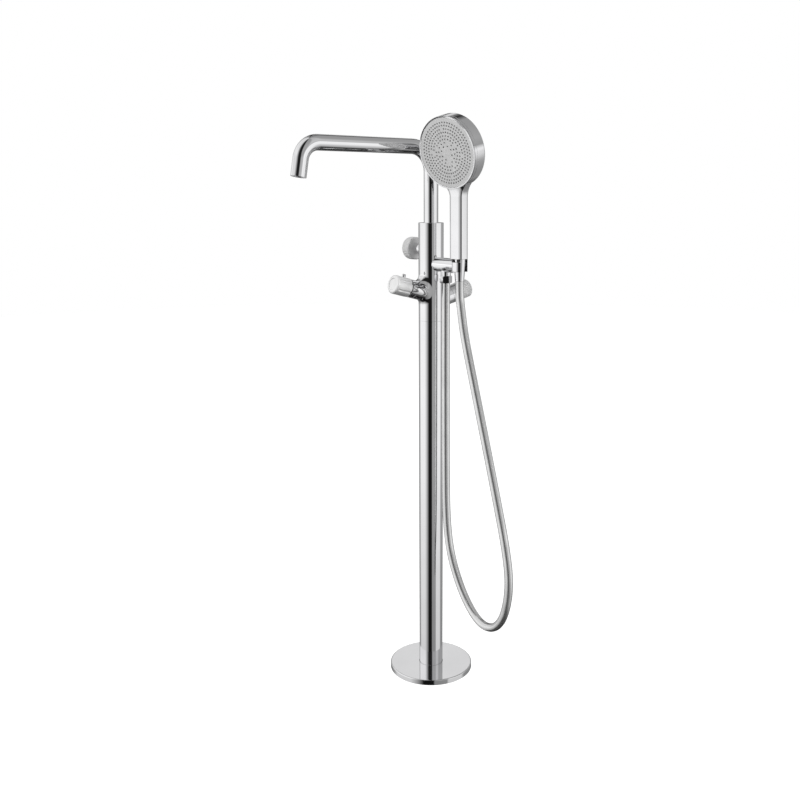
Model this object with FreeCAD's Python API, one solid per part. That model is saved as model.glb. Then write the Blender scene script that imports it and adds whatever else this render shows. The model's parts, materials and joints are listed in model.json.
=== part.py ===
import FreeCAD, Part
import math
import os
from FreeCAD import Placement, Rotation, Vector

# Floor-standing tub filler with a swivel spout, a thermostat and a hand shower, in millimetres.
# The origin is the centre of the base on the floor, +Z is up and -X points to the tub.

os.makedirs("parts", exist_ok=True)

# Fits that several pieces share
overrun = 5.0
seat_gap = 0.05
running_gap = 0.05
clear_gap = 0.3
seal_gap = 0.03

# Base and column
column_d = 42.0
column_wall = 2.0
cover_d = 148.0
cover_h = 9.5
cover_wall = 2.0
cover_edge_r = 1.6
cover_hub_wall = 5.0
cover_seal_h = 1.6
cover_seal_w = 1.8
anchor_margin = 9.0
anchor_t = 3.0
anchor_spigot_h = 57.0
anchor_bore_gap = 0.5
anchor_bolt_inset = 14.0
anchor_bolt_hole_d = 9.0
anchor_bolt_count = 4

# Water tubes inside the column
supply_tube_d = 12.0
supply_tube_wall = 1.0
supply_pitch = 18.0
inlet_union_d = 14.0
inlet_union_h = 18.0
inlet_thread_d = 9.0
inlet_lift = 1.0
check_valve_h = 8.0

# Valve body
body_z = 640.0
body_top_z = 803.0
body_top_edge_r = 0.7
body_spigot_h = 24.0
body_seal_h = 2.4
body_seal_w = 1.8
inlet_socket_h = 16.0
arm_d = 30.0
arm_end = 39.4
arm_rise_deg = 15.0
arm_fillet_r = 10.0
cartridge_d = 20.0
cartridge_start = 4.0

# Thermostat side, with its lengths along the arm
thermostat_root_z = 684.5
thermostat_side_deg = 180.0
thermostat_collar_l = 9.4
thermostat_collar_edge_r = 0.5
thermostat_head_d = 24.0
stop_ring_d = 27.4
stop_ring_t = 1.6
thermostat_handle_l = 30.6
thermostat_handle_d = 31.0
thermostat_handle_edge_r = 4.0
handle_wall = 4.0
handle_web = 10.0
groove_count = 6
groove_r = 3.2
groove_depth = 1.3
groove_inset = 4.8
mark_l = 5.8
mark_w = 5.4
mark_inset = 0.4
mark_depth = 0.5
mark_turn_deg = -84.0

# Spindles, screws and caps that the three handles share
spindle_d = 8.0
spindle_in_cartridge = 9.0
handle_screw_d = 4.0
handle_screw_grip = 9.0
handle_screw_head_d = 7.0
handle_screw_head_h = 2.6
handle_floor = 2.4
cap_d = 19.0
cap_t = 2.4
cap_edge_r = 0.5

# Safety button, which stands on the top of the thermostat handle
button_inset = 11.6
button_d = 6.2
button_out = 3.6
button_edge_r = 0.8
button_flange_d = 8.4
button_flange_h = 1.4
spring_d = 5.0
spring_wire_d = 0.7
spring_turns = 3.5

# Flow side, with its lengths along the arm
flow_root_z = 670.5
flow_side_deg = 0.0
flow_collar_d = 30.4
flow_collar_l = 18.6
flow_handle_l = 22.2
flow_handle_d = 31.2
flow_handle_edge_r = 3.0
flow_flute_count = 30

# Diverter knob, measured along +Y from the column axis
diverter_z = 759.0
diverter_neck_d = 18.5
diverter_neck_end = 40.6
diverter_cartridge_d = 14.0
diverter_cartridge_start = 6.0
diverter_spindle_d = 7.0
diverter_knob_l = 18.0
diverter_knob_d = 38.0
diverter_knob_edge_r = 2.0
diverter_flute_count = 36
flute_r = 1.1
flute_depth = 0.5

# Bar and cradle, measured along -Y from the column axis
bar_z = 735.0
bar_d = 23.6
bar_spigot_d = 12.0
bar_spigot_l = 12.0
cradle_at = 77.5
cradle_d = 26.0
cradle_drop = 8.5
cradle_h = 15.5
cradle_slot_w = 15.6
cradle_edge_r = 0.8
liner_wall_top = 1.1
liner_rim_gap = 0.3
liner_rim_h = 4.4
liner_notch_w = 8.0
outlet_at = 41.0
outlet_stub_d = 13.2
outlet_stub_bore_d = 8.0
outlet_collar_d = 16.5
outlet_seat_share = 0.5
hose_nut_z = 706.0
hose_nut_h = 11.6
hose_nut_flats = 18.0
hose_nut_edge = 1.0
hose_nut_turn_deg = 53.5
washer_t = 1.6

# Hose, with its route as (distance from the column axis along -Y, height)
hose_d = 14.0
hose_bend_share = 0.45
hose_route = [
    (41.0, 706.0), (41.0, 630.0), (41.6, 520.0), (42.7, 405.0), (44.6, 303.0),
    (56.0, 238.0), (85.0, 184.0), (118.5, 149.0), (149.0, 135.5), (180.5, 144.5),
    (203.0, 176.0), (213.5, 232.0), (202.5, 291.0), (176.5, 371.0), (147.0, 459.0),
    (116.3, 549.0), (91.5, 622.0), (83.5, 659.0), (77.5, 688.5), (77.5, 711.0),
]

# Spout
spout_d = 24.0
spout_wall = 1.5
spout_axis_z = 924.0
spout_bend_r = 30.0
spout_run = 211.5
spout_drop = 26.5
spout_drop_lean_deg = 10.0
spout_gap = 0.4
spout_socket_h = 31.0
spout_stub_h = 18.0
spout_seal_h = 2.4
spout_seal_w = 1.8
spout_seal_heights = (5.0, 11.0)
lock_groove_height = 22.0
lock_groove_h = 4.6
lock_groove_depth = 1.6
lock_screw_d = 5.0
lock_tip_d = 4.0
lock_screw_sink = 0.8
thrust_washer_t = 1.0
aerator_h = 12.0
aerator_wall = 1.6
aerator_sink = 1.2
aerator_insert_h = 5.0
aerator_hole_d = 2.4
aerator_hole_pitch = 3.4
aerator_rings = 2

# Hand shower, with its handle axis on the cradle axis
shower_turn_deg = 191.0
shower_head_d = 112.0
shower_head_depth = 34.0
shower_head_side = 26.0
shower_head_back_inset = 14.5
shower_head_edge_r = 5.0
shower_head_tilt_deg = 14.2
face_foot_rise = 8.0
face_foot_forward = 19.2
shower_wall = 2.4
handle_z = 747.3
handle_l = 100.6
handle_w = 25.8
handle_depth = 18.9
handle_crown = 2.4
handle_front_r = 1.2
handle_back_r = 6.5
handle_forward = 0.9
handle_neck_forward = 1.9
handle_flare_r = 15.0
handle_flare_turns_deg = (0, 24, 48, 72)
flare_front_share = 0.7
flare_back_share = 0.45
handle_bore_d = 9.0
water_turn_rise = 5.0
water_end_rise = 45.0
water_end_forward = 16.0
face_ring_w = 2.4
face_ring_h = 7.0
face_sink = 0.6
face_t = 2.4
water_plate_t = 3.0
nozzle_base_d = 2.0
nozzle_tip_d = 1.4
nozzle_h = 1.0
nozzle_ring_shares = (0.25, 0.41, 0.57, 0.72, 0.84, 0.94)
nozzle_counts = (6, 10, 16, 20, 24, 28)
inlet_d = 14.4
inlet_bore_d = 9.0
inlet_into_handle = 9.0
inlet_drop = 17.3
cone_nut_z = 711.0
cone_nut_top_d = 20.4
cone_nut_bottom_d = 14.8
cone_nut_edge_r = 0.6

column_r = column_d / 2
column_bore_r = column_r - column_wall
parts = {}


def turned(outline):
    """Solid of revolution about Z through (radius, height) corners."""
    points = [Vector(radius, 0, height) for radius, height in outline]
    face = Part.Face(Part.makePolygon(points + points[:1]))
    return face.revolve(Vector(0, 0, 0), Vector(0, 0, 1), 360)


def rod(radius, low, high):
    return Part.makeCylinder(radius, high - low, Vector(0, 0, low))


def ring(inner, outer, low, high):
    return turned([(inner, low), (outer, low), (outer, high), (inner, high)])


def circles_at(shape, radius, height):
    """Circular edges of one radius about Z at one height."""
    found = []
    for edge in shape.Edges:
        if edge.Curve.TypeId != "Part::GeomCircle":
            continue
        centre = edge.Curve.Center
        on_axis = math.hypot(centre.x, centre.y) < seat_gap
        if on_axis and abs(edge.Curve.Radius - radius) < seat_gap and abs(centre.z - height) < seat_gap:
            found.append(edge)
    return found


def rounded(shape, radius, height, edge_r):
    return shape.makeFillet(edge_r, circles_at(shape, radius, height))


def placed(shape, frame):
    copy = shape.copy()
    copy.Placement = frame.multiply(copy.Placement)
    return copy


def arm_frame(root_z, side_deg, rise_deg):
    """Frame whose Z runs out along an arm and whose X is the arm's upper side."""
    side = math.radians(side_deg)
    rise = math.radians(rise_deg)
    out = Vector(math.cos(side), math.sin(side), 0)
    along = out * math.cos(rise) + Vector(0, 0, math.sin(rise))
    upper = Vector(0, 0, math.cos(rise)) - out * math.sin(rise)
    return Placement(Vector(0, 0, root_z), Rotation(upper, along.cross(upper), along, "ZXY"))


def upright_frame(x, y, turn_deg):
    return Placement(Vector(x, y, 0), Rotation(Vector(0, 0, 1), turn_deg))


def round_pattern(shape, count, start_deg):
    """Copies of a shape turned evenly about Z, as one compound."""
    copies = []
    for index in range(count):
        turn = Rotation(Vector(0, 0, 1), start_deg + 360 * index / count)
        copies.append(placed(shape, Placement(Vector(0, 0, 0), turn)))
    return Part.makeCompound(copies)


def fluted(shape, radius, count, cut_r, depth, low, high):
    """Straight grooves along a round handle."""
    groove = rod(cut_r, low, high)
    groove.translate(Vector(radius + cut_r - depth, 0, 0))
    return shape.cut(round_pattern(groove, count, 0))


def pipe(wire, radius):
    start = wire.Vertexes[0].Point
    first = wire.Edges[0]
    heading = first.tangentAt(first.FirstParameter)
    section = Part.Wire(Part.makeCircle(radius, start, heading))
    return wire.makePipeShell([section], True, False)


def hex_prism(flats, low, high):
    corner_r = flats / math.sqrt(3)
    corners = []
    for index in range(6):
        turn = math.radians(30 + 60 * index)
        corners.append(Vector(corner_r * math.cos(turn), corner_r * math.sin(turn), low))
    return Part.Face(Part.makePolygon(corners + corners[:1])).extrude(Vector(0, 0, high - low))


# Base cover: a shallow dish with a hub that grips the column through a seal ring
cover_hole_r = column_r + clear_gap
cover_hub_r = cover_hole_r + cover_hub_wall
cover_r = cover_d / 2
cover_roof_z = cover_h - cover_wall
cover_hub_z = anchor_t + clear_gap
cover = turned([
    (cover_hole_r, cover_hub_z), (cover_hub_r, cover_hub_z), (cover_hub_r, cover_roof_z),
    (cover_r - cover_wall, cover_roof_z), (cover_r - cover_wall, 0), (cover_r, 0),
    (cover_r, cover_h), (cover_hole_r, cover_h),
])
cover = rounded(cover, cover_r, cover_h, cover_edge_r)
cover_seal_z = (cover_hub_z + cover_h - cover_seal_h) / 2
cover_groove = ring(
    cover_hole_r - clear_gap, column_r + cover_seal_w, cover_seal_z, cover_seal_z + cover_seal_h)
parts["base_cover"] = cover.cut(cover_groove)
parts["cover_seal"] = ring(
    column_r + seal_gap, column_r + cover_seal_w - seal_gap,
    cover_seal_z + seal_gap, cover_seal_z + cover_seal_h - seal_gap,
)

# Anchor flange: floor plate with bolt holes, and the welded spigot on it that carries the column
anchor_r = cover_r - cover_wall - anchor_margin
anchor_bore_r = supply_pitch / 2 + inlet_union_d / 2 + anchor_bore_gap
flange = ring(anchor_bore_r, anchor_r, 0, anchor_t)
bolt_hole = rod(anchor_bolt_hole_d / 2, -overrun, anchor_t + overrun)
bolt_hole.translate(Vector(anchor_r - anchor_bolt_inset, 0, 0))
parts["anchor_flange"] = flange.cut(round_pattern(bolt_hole, anchor_bolt_count, 180 / anchor_bolt_count))
parts["anchor_spigot"] = ring(anchor_bore_r, column_bore_r - seat_gap, anchor_t, anchor_t + anchor_spigot_h)

# Column tube: stands on the flange and carries the valve body
parts["column_tube"] = ring(column_bore_r, column_r, anchor_t, body_z)

# Water tubes with threaded unions at the floor and non-return valves below the body
supply_r = supply_tube_d / 2
supply_bore_r = supply_r - supply_tube_wall
union_top_z = inlet_lift + inlet_union_h
socket_top_z = body_z + inlet_socket_h
tube_top_z = socket_top_z - check_valve_h
supply_tube = ring(supply_bore_r, supply_r, union_top_z, tube_top_z)
union = ring(inlet_thread_d / 2, inlet_union_d / 2, inlet_lift, union_top_z)
check_valve = rod(supply_r, tube_top_z, socket_top_z)
supply_places = {"cold_supply_tube": supply_pitch / 2, "hot_supply_tube": -supply_pitch / 2}
unions = []
check_valves = []
for name, x in supply_places.items():
    frame = upright_frame(x, 0, 0)
    parts[name] = placed(supply_tube, frame)
    unions.append(placed(union, frame))
    check_valves.append(placed(check_valve, frame))
parts["inlet_unions"] = Part.makeCompound(unions)
parts["check_valves"] = Part.makeCompound(check_valves)

# Valve body: casting with two raised arms, sockets for tubes, cartridges, spout and bar
thermostat_frame = arm_frame(thermostat_root_z, thermostat_side_deg, arm_rise_deg)
flow_frame = arm_frame(flow_root_z, flow_side_deg, arm_rise_deg)
diverter_frame = arm_frame(diverter_z, 90, 0)
bar_frame = arm_frame(bar_z, -90, 0)
seam_turn = Placement(Vector(0, 0, 0), Rotation(Vector(0, 0, 1), 90))
body = placed(rod(column_r, body_z, body_top_z), seam_turn)
arm = placed(rod(arm_d / 2, 0, arm_end), seam_turn)
for frame in (thermostat_frame, flow_frame):
    body = body.fuse(placed(arm, frame))
body = body.removeSplitter()
meeting_edges = [edge for edge in body.Edges if edge.Curve.TypeId == "Part::GeomBSplineCurve"]
body = body.makeFillet(arm_fillet_r, meeting_edges)
body = rounded(body, column_r, body_top_z, body_top_edge_r)
body_spigot_r = column_bore_r - seat_gap
body = body.fuse(rod(body_spigot_r, body_z - body_spigot_h, body_z)).removeSplitter()
seal_low_z = body_z - (body_spigot_h + body_seal_h) / 2
seal_high_z = seal_low_z + body_seal_h
body = body.cut(ring(body_spigot_r - body_seal_w, body_spigot_r + overrun, seal_low_z, seal_high_z))
parts["body_seal"] = ring(
    body_spigot_r - body_seal_w + seal_gap, column_bore_r - seal_gap,
    seal_low_z + seal_gap, seal_high_z - seal_gap,
)
spout_r = spout_d / 2
socket_floor_z = body_top_z - spout_socket_h
cartridge_bore = rod(cartridge_d / 2, cartridge_start, arm_end + overrun)
diverter_bore = rod(diverter_cartridge_d / 2, diverter_cartridge_start, column_r + overrun)
bar_bore = rod(bar_spigot_d / 2, column_r - bar_spigot_l, column_r + overrun)
lock_z = socket_floor_z + lock_groove_height
lock_frame = arm_frame(lock_z, 0, 0)
cuts = [
    rod(spout_r + running_gap, socket_floor_z, body_top_z + overrun),
    placed(cartridge_bore, thermostat_frame),
    placed(cartridge_bore, flow_frame),
    placed(diverter_bore, diverter_frame),
    placed(bar_bore, bar_frame),
    placed(rod(lock_screw_d / 2, 0, column_r + overrun), lock_frame),
]
supply_socket = rod(supply_r + seat_gap, body_z - body_spigot_h - overrun, socket_top_z)
for x in supply_places.values():
    cuts.append(placed(supply_socket, upright_frame(x, 0, 0)))
parts["valve_body"] = body.cut(Part.makeCompound(cuts))

# Thermostat cartridge, collar with a pointer mark, and the dark stop ring behind the handle
cartridge_r = cartridge_d / 2 - seat_gap
spindle_r = spindle_d / 2
spindle_bore_r = spindle_r + running_gap
thermostat_head_r = thermostat_head_d / 2
thermostat_collar_end = arm_end + thermostat_collar_l
stop_ring_end = thermostat_collar_end + stop_ring_t
spindle_floor = thermostat_collar_end - spindle_in_cartridge
cartridge = turned([
    (0, cartridge_start + seat_gap), (cartridge_r, cartridge_start + seat_gap), (cartridge_r, arm_end),
    (thermostat_head_r, arm_end), (thermostat_head_r, thermostat_collar_end),
    (spindle_bore_r, thermostat_collar_end), (spindle_bore_r, spindle_floor), (0, spindle_floor),
])
parts["thermostat_cartridge"] = placed(cartridge, thermostat_frame)
collar = ring(thermostat_head_r + seat_gap, arm_d / 2, arm_end, thermostat_collar_end)
collar = rounded(collar, arm_d / 2, thermostat_collar_end, thermostat_collar_edge_r)
mark_tip = arm_end + mark_inset
mark_corners = [
    Vector(0, -mark_w / 2, mark_tip + mark_l),
    Vector(0, mark_w / 2, mark_tip + mark_l),
    Vector(0, 0, mark_tip),
]
mark_face = Part.Face(Part.makePolygon(mark_corners + mark_corners[:1]))
mark = mark_face.extrude(Vector(mark_depth + overrun, 0, 0))
mark.translate(Vector(arm_d / 2 - mark_depth, 0, 0))
mark = placed(mark, Placement(Vector(0, 0, 0), Rotation(Vector(0, 0, 1), mark_turn_deg)))
parts["thermostat_collar"] = placed(collar.cut(mark), thermostat_frame)
stop_ring = ring(spindle_r + clear_gap, stop_ring_d / 2, thermostat_collar_end, stop_ring_end)
parts["thermostat_stop_ring"] = placed(stop_ring, thermostat_frame)


def handle_blank(start, end, radius, edge_r, skirt_end):
    """Round handle: hollow skirt, solid web and a seat for the end cap."""
    cap_floor = end - cap_t
    head_floor = cap_floor - handle_screw_head_h
    blank = rounded(rod(radius, start, end), radius, end, edge_r)
    hollow = rod(radius - handle_wall, start - overrun, skirt_end)
    cap_seat = rod(cap_d / 2 + seat_gap, cap_floor, end + overrun)
    head_seat = rod(handle_screw_head_d / 2 + seat_gap, head_floor, end)
    return blank.cut(Part.makeCompound([hollow, cap_seat, head_seat]))


def drilled(blank, end, radius):
    """Spindle hole up to the floor under the screw head, and the screw hole through that floor."""
    head_floor = end - cap_t - handle_screw_head_h
    spindle_hole = rod(radius + seat_gap, 0, head_floor - handle_floor)
    screw_hole = rod(handle_screw_d / 2 + seat_gap, 0, end)
    return blank.cut(Part.makeCompound([spindle_hole, screw_hole]))


def spindle_for(start, end, radius):
    """Spindle that stops under the handle's floor, tapped for the handle screw."""
    tip = end - cap_t - handle_screw_head_h - handle_floor
    tapped = rod(handle_screw_d / 2 + seat_gap, tip - handle_screw_grip, tip + overrun)
    return rod(radius, start, tip).cut(tapped)


def handle_screw(end):
    head_floor = end - cap_t - handle_screw_head_h
    shank_end = head_floor - handle_floor - handle_screw_grip
    shank_r = handle_screw_d / 2
    return turned([
        (0, shank_end), (shank_r, shank_end), (shank_r, head_floor), (handle_screw_head_d / 2, head_floor),
        (handle_screw_head_d / 2, end - cap_t), (0, end - cap_t),
    ])


def end_cap(end):
    return rounded(rod(cap_d / 2, end - cap_t, end), cap_d / 2, end, cap_edge_r)


# Thermostat handle: six long panels between grooves, with the safety button in the top groove
thermostat_r = thermostat_handle_d / 2
thermostat_handle_start = stop_ring_end + clear_gap
thermostat_handle_end = thermostat_handle_start + thermostat_handle_l
thermostat_skirt_end = thermostat_handle_end - handle_web
groove_end = thermostat_handle_end - groove_inset
button_at = thermostat_handle_start + button_inset
handle = handle_blank(
    thermostat_handle_start, thermostat_handle_end, thermostat_r, thermostat_handle_edge_r,
    thermostat_skirt_end)
handle = fluted(
    handle, thermostat_r, groove_count, groove_r, groove_depth, thermostat_handle_start - overrun, groove_end)
handle = drilled(handle, thermostat_handle_end, spindle_r)
button_hole = Part.makeCylinder(
    button_d / 2 + running_gap, thermostat_r, Vector(0, 0, button_at), Vector(1, 0, 0))
parts["thermostat_handle"] = placed(handle.cut(button_hole), thermostat_frame)
parts["thermostat_spindle"] = placed(
    spindle_for(spindle_floor + clear_gap, thermostat_handle_end, spindle_r), thermostat_frame)
parts["thermostat_screw"] = placed(handle_screw(thermostat_handle_end), thermostat_frame)
parts["thermostat_cap"] = placed(end_cap(thermostat_handle_end), thermostat_frame)

# Safety button and its coil spring, which stands on the spindle
button_frame = thermostat_frame.multiply(
    Placement(Vector(0, 0, button_at), Rotation(Vector(0, 1, 0), 90)))
button_top = thermostat_r + button_out
flange_r = button_flange_d / 2
flange_top = math.sqrt((thermostat_r - handle_wall) ** 2 - flange_r ** 2) - clear_gap
flange_low = flange_top - button_flange_h
button = turned([
    (0, flange_low), (flange_r, flange_low), (flange_r, flange_top),
    (button_d / 2, flange_top), (button_d / 2, button_top), (0, button_top),
])
parts["safety_button"] = placed(rounded(button, button_d / 2, button_top, button_edge_r), button_frame)
spring_low = spindle_r + clear_gap + spring_wire_d / 2
spring_high = flange_low - clear_gap - spring_wire_d / 2
spring_r = (spring_d - spring_wire_d) / 2
coil = Part.makeHelix((spring_high - spring_low) / spring_turns, spring_high - spring_low, spring_r)
coil_section = Part.Wire(Part.makeCircle(spring_wire_d / 2, Vector(spring_r, 0, 0), Vector(0, 1, 0)))
spring = Part.Wire(coil.Edges).makePipeShell([coil_section], True, True)
spring.translate(Vector(0, 0, spring_low))
parts["button_spring"] = placed(spring, button_frame)

# Flow side: cartridge, long smooth collar and a fluted handle
flow_collar_end = arm_end + flow_collar_l
flow_handle_start = flow_collar_end + clear_gap
flow_handle_end = flow_handle_start + flow_handle_l
flow_spindle_floor = flow_collar_end - spindle_in_cartridge
flow_cartridge = turned([
    (0, cartridge_start + seat_gap), (cartridge_r, cartridge_start + seat_gap), (cartridge_r, flow_collar_end),
    (spindle_bore_r, flow_collar_end), (spindle_bore_r, flow_spindle_floor), (0, flow_spindle_floor),
])
parts["flow_cartridge"] = placed(flow_cartridge, flow_frame)
flow_collar = ring(cartridge_d / 2, flow_collar_d / 2, arm_end, flow_collar_end)
flow_collar = rounded(flow_collar, flow_collar_d / 2, flow_collar_end, thermostat_collar_edge_r)
parts["flow_collar"] = placed(flow_collar, flow_frame)
flow_r = flow_handle_d / 2
flow_skirt_end = flow_handle_end - handle_web
flow_handle = handle_blank(flow_handle_start, flow_handle_end, flow_r, flow_handle_edge_r, flow_skirt_end)
flow_handle = fluted(
    flow_handle, flow_r, flow_flute_count, flute_r, flute_depth,
    flow_handle_start - overrun, flow_handle_end - flow_handle_edge_r)
parts["flow_handle"] = placed(drilled(flow_handle, flow_handle_end, spindle_r), flow_frame)
parts["flow_spindle"] = placed(
    spindle_for(flow_spindle_floor + clear_gap, flow_handle_end, spindle_r), flow_frame)
parts["flow_screw"] = placed(handle_screw(flow_handle_end), flow_frame)
parts["flow_cap"] = placed(end_cap(flow_handle_end), flow_frame)

# Diverter: cartridge in the body, neck sleeve seated on the column and a fluted knob
diverter_spindle_r = diverter_spindle_d / 2
diverter_bore_r = diverter_spindle_r + running_gap
diverter_cartridge_r = diverter_cartridge_d / 2 - seat_gap
neck_seat = math.sqrt(column_r ** 2 - (diverter_neck_d / 2) ** 2) - seat_gap
cartridge_top = neck_seat - seat_gap
diverter_floor = cartridge_top - spindle_in_cartridge
diverter_cartridge = turned([
    (0, diverter_cartridge_start + seat_gap), (diverter_cartridge_r, diverter_cartridge_start + seat_gap),
    (diverter_cartridge_r, cartridge_top), (diverter_bore_r, cartridge_top),
    (diverter_bore_r, diverter_floor), (0, diverter_floor),
])
parts["diverter_cartridge"] = placed(diverter_cartridge, diverter_frame)
neck = ring(diverter_bore_r, diverter_neck_d / 2, neck_seat, diverter_neck_end)
neck_column = rod(column_r, diverter_z - diverter_neck_d, diverter_z + diverter_neck_d)
neck = placed(neck, diverter_frame).cut(neck_column)
neck_spigot = ring(diverter_bore_r, diverter_cartridge_r, neck_seat, column_r)
parts["diverter_neck"] = neck.fuse(placed(neck_spigot, diverter_frame)).removeSplitter()
diverter_r = diverter_knob_d / 2
diverter_knob_start = diverter_neck_end + clear_gap
diverter_knob_end = diverter_knob_start + diverter_knob_l
knob = rounded(rod(diverter_r, diverter_knob_start, diverter_knob_end), diverter_r, diverter_knob_end,
               diverter_knob_edge_r)
knob = rounded(knob, diverter_r, diverter_knob_start, diverter_knob_edge_r)
knob_floor = diverter_knob_end - cap_t
knob = knob.cut(Part.makeCompound([
    rod(cap_d / 2 + seat_gap, knob_floor, diverter_knob_end + overrun),
    rod(handle_screw_head_d / 2 + seat_gap, knob_floor - handle_screw_head_h, diverter_knob_end),
]))
knob = fluted(knob, diverter_r, diverter_flute_count, flute_r, flute_depth,
              diverter_knob_start + diverter_knob_edge_r, diverter_knob_end - diverter_knob_edge_r)
parts["diverter_knob"] = placed(drilled(knob, diverter_knob_end, diverter_spindle_r), diverter_frame)
parts["diverter_spindle"] = placed(
    spindle_for(diverter_floor + clear_gap, diverter_knob_end, diverter_spindle_r), diverter_frame)
parts["diverter_screw"] = placed(handle_screw(diverter_knob_end), diverter_frame)
parts["diverter_cap"] = placed(end_cap(diverter_knob_end), diverter_frame)

# Shower bracket: a round bar seated on the body, ending in an open cradle
bar_r = bar_d / 2
cradle_r = cradle_d / 2
cradle_bottom_z = bar_z - cradle_drop
cradle_top_z = cradle_bottom_z + cradle_h
cradle_frame = upright_frame(0, -cradle_at, 0)
cone_nut_top_z = handle_z - clear_gap
cone_slope = (cone_nut_top_d - cone_nut_bottom_d) / 2 / (cone_nut_top_z - cone_nut_z)


def cone_radius(height):
    """Outside radius of the cone nut at a height."""
    return cone_nut_bottom_d / 2 + cone_slope * (height - cone_nut_z)


liner_r = cone_radius(cradle_top_z) + clear_gap + liner_wall_top
bracket = placed(rod(bar_r, 0, cradle_at), bar_frame)
cradle = rounded(rod(cradle_r, cradle_bottom_z, cradle_top_z), cradle_r, cradle_top_z, cradle_edge_r)
cradle = rounded(cradle, cradle_r, cradle_bottom_z, cradle_edge_r)
bracket = bracket.cut(rod(column_r, bar_z - bar_d, bar_z + bar_d))
bracket = bracket.cut(placed(rod(cradle_r, bar_z - bar_d, bar_z + bar_d), cradle_frame))
bracket = bracket.fuse(placed(cradle, cradle_frame)).removeSplitter()
bar_spigot_start = column_r - bar_spigot_l + seat_gap
bar_spigot = rod(bar_spigot_d / 2 - seat_gap, bar_spigot_start, cradle_at - cradle_r)
bracket = bracket.fuse(placed(bar_spigot, bar_frame)).removeSplitter()
slot_edge = cradle_slot_w / 2
slot = Part.makeBox(
    cradle_slot_w, cradle_r + overrun, cradle_h + liner_rim_h + overrun + overrun,
    Vector(-slot_edge, -cradle_at - cradle_r - overrun, cradle_bottom_z - overrun))
bracket = bracket.cut(placed(rod(liner_r + seat_gap, bar_z - bar_d, bar_z + bar_d), cradle_frame)).cut(slot)
outlet_frame = upright_frame(0, -outlet_at, 0)
outlet_seat_z = bar_z - bar_r * outlet_seat_share
outlet_stub_r = outlet_stub_d / 2
bracket = bracket.cut(placed(rod(outlet_stub_r + seat_gap, bar_z - bar_d, outlet_seat_z), outlet_frame))
seal_start = (bar_spigot_start + column_r - body_seal_h) / 2
seal_end = seal_start + body_seal_h
bar_seal_r = bar_spigot_d / 2 - body_seal_w
bracket = bracket.cut(placed(ring(bar_seal_r, bar_spigot_d, seal_start, seal_end), bar_frame))
parts["shower_bracket"] = bracket
bar_seal = ring(bar_seal_r + seal_gap, bar_spigot_d / 2 - seal_gap, seal_start + seal_gap, seal_end - seal_gap)
parts["bracket_seal"] = placed(bar_seal, bar_frame)

# Cradle liner: black split sleeve, tapered to take the cone nut, with a notched rim on the cradle
liner_rim_z = cradle_top_z + liner_rim_h
liner_rim_r = cradle_r - liner_rim_gap
liner = turned([
    (cone_radius(cradle_bottom_z) + clear_gap, cradle_bottom_z), (liner_r, cradle_bottom_z),
    (liner_r, cradle_top_z), (liner_rim_r, cradle_top_z), (liner_rim_r, liner_rim_z),
    (cone_radius(liner_rim_z) + clear_gap, liner_rim_z),
])
notch = Part.makeBox(
    cradle_r + overrun, liner_notch_w, liner_rim_h + overrun, Vector(0, -liner_notch_w / 2, cradle_top_z))
notch = placed(notch, upright_frame(0, -cradle_at, shower_turn_deg))
parts["cradle_liner"] = placed(liner, cradle_frame).cut(slot).cut(notch)

# Hose outlet: threaded stub in the bar, washer and hex nut
outlet_collar_r = outlet_collar_d / 2
stub_bore_r = outlet_stub_bore_d / 2
nut_top_z = hose_nut_z + hose_nut_h
nut_floor_z = hose_nut_z + washer_t
stub_end_z = nut_floor_z + washer_t
stub = turned([
    (stub_bore_r, stub_end_z), (outlet_stub_r, stub_end_z), (outlet_stub_r, outlet_seat_z),
    (stub_bore_r, outlet_seat_z),
])
stub_collar = ring(outlet_stub_r - seat_gap, outlet_collar_r, nut_top_z, bar_z)
stub_collar = placed(stub_collar, outlet_frame).cut(placed(rod(bar_r, 0, cradle_at), bar_frame))
parts["hose_outlet_stub"] = placed(stub, outlet_frame).fuse(stub_collar).removeSplitter()
parts["hose_washer"] = placed(ring(stub_bore_r, outlet_stub_r, nut_floor_z, stub_end_z), outlet_frame)
nut_corner_r = hose_nut_flats / math.sqrt(3)
nut = hex_prism(hose_nut_flats, hose_nut_z, nut_top_z)
nut_round = turned([
    (0, hose_nut_z), (nut_corner_r - hose_nut_edge, hose_nut_z), (nut_corner_r, hose_nut_z + hose_nut_edge),
    (nut_corner_r, nut_top_z - hose_nut_edge), (nut_corner_r - hose_nut_edge, nut_top_z), (0, nut_top_z),
])
nut = nut.common(nut_round).cut(rod(outlet_stub_r + seat_gap, nut_floor_z, nut_top_z + overrun))
nut = nut.cut(rod(stub_bore_r, hose_nut_z - overrun, nut_top_z))
parts["hose_nut"] = placed(nut, upright_frame(0, -outlet_at, hose_nut_turn_deg))


def cord_path(points):
    """Straight runs joined by tangent arcs, each arc as large as its two runs allow."""
    edges = []
    radii = []
    last = points[0]
    for before, corner, after in zip(points, points[1:], points[2:]):
        run_in = corner - before
        run_out = after - corner
        turn = run_in.getAngle(run_out)
        reach = hose_bend_share * min(run_in.Length, run_out.Length)
        radii.append(reach / math.tan(turn / 2))
        arc_start = corner - run_in.normalize() * reach
        arc_end = corner + run_out.normalize() * reach
        inward = (arc_start + arc_end) * 0.5 - corner
        span = inward.Length
        depth = radii[-1] / math.cos(turn / 2) - radii[-1]
        middle = corner + inward * (depth / span)
        edges.append(Part.LineSegment(last, arc_start).toShape())
        edges.append(Part.Arc(arc_start, middle, arc_end).toShape())
        last = arc_end
    edges.append(Part.LineSegment(last, points[-1]).toShape())
    return Part.Wire(edges), radii


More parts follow.
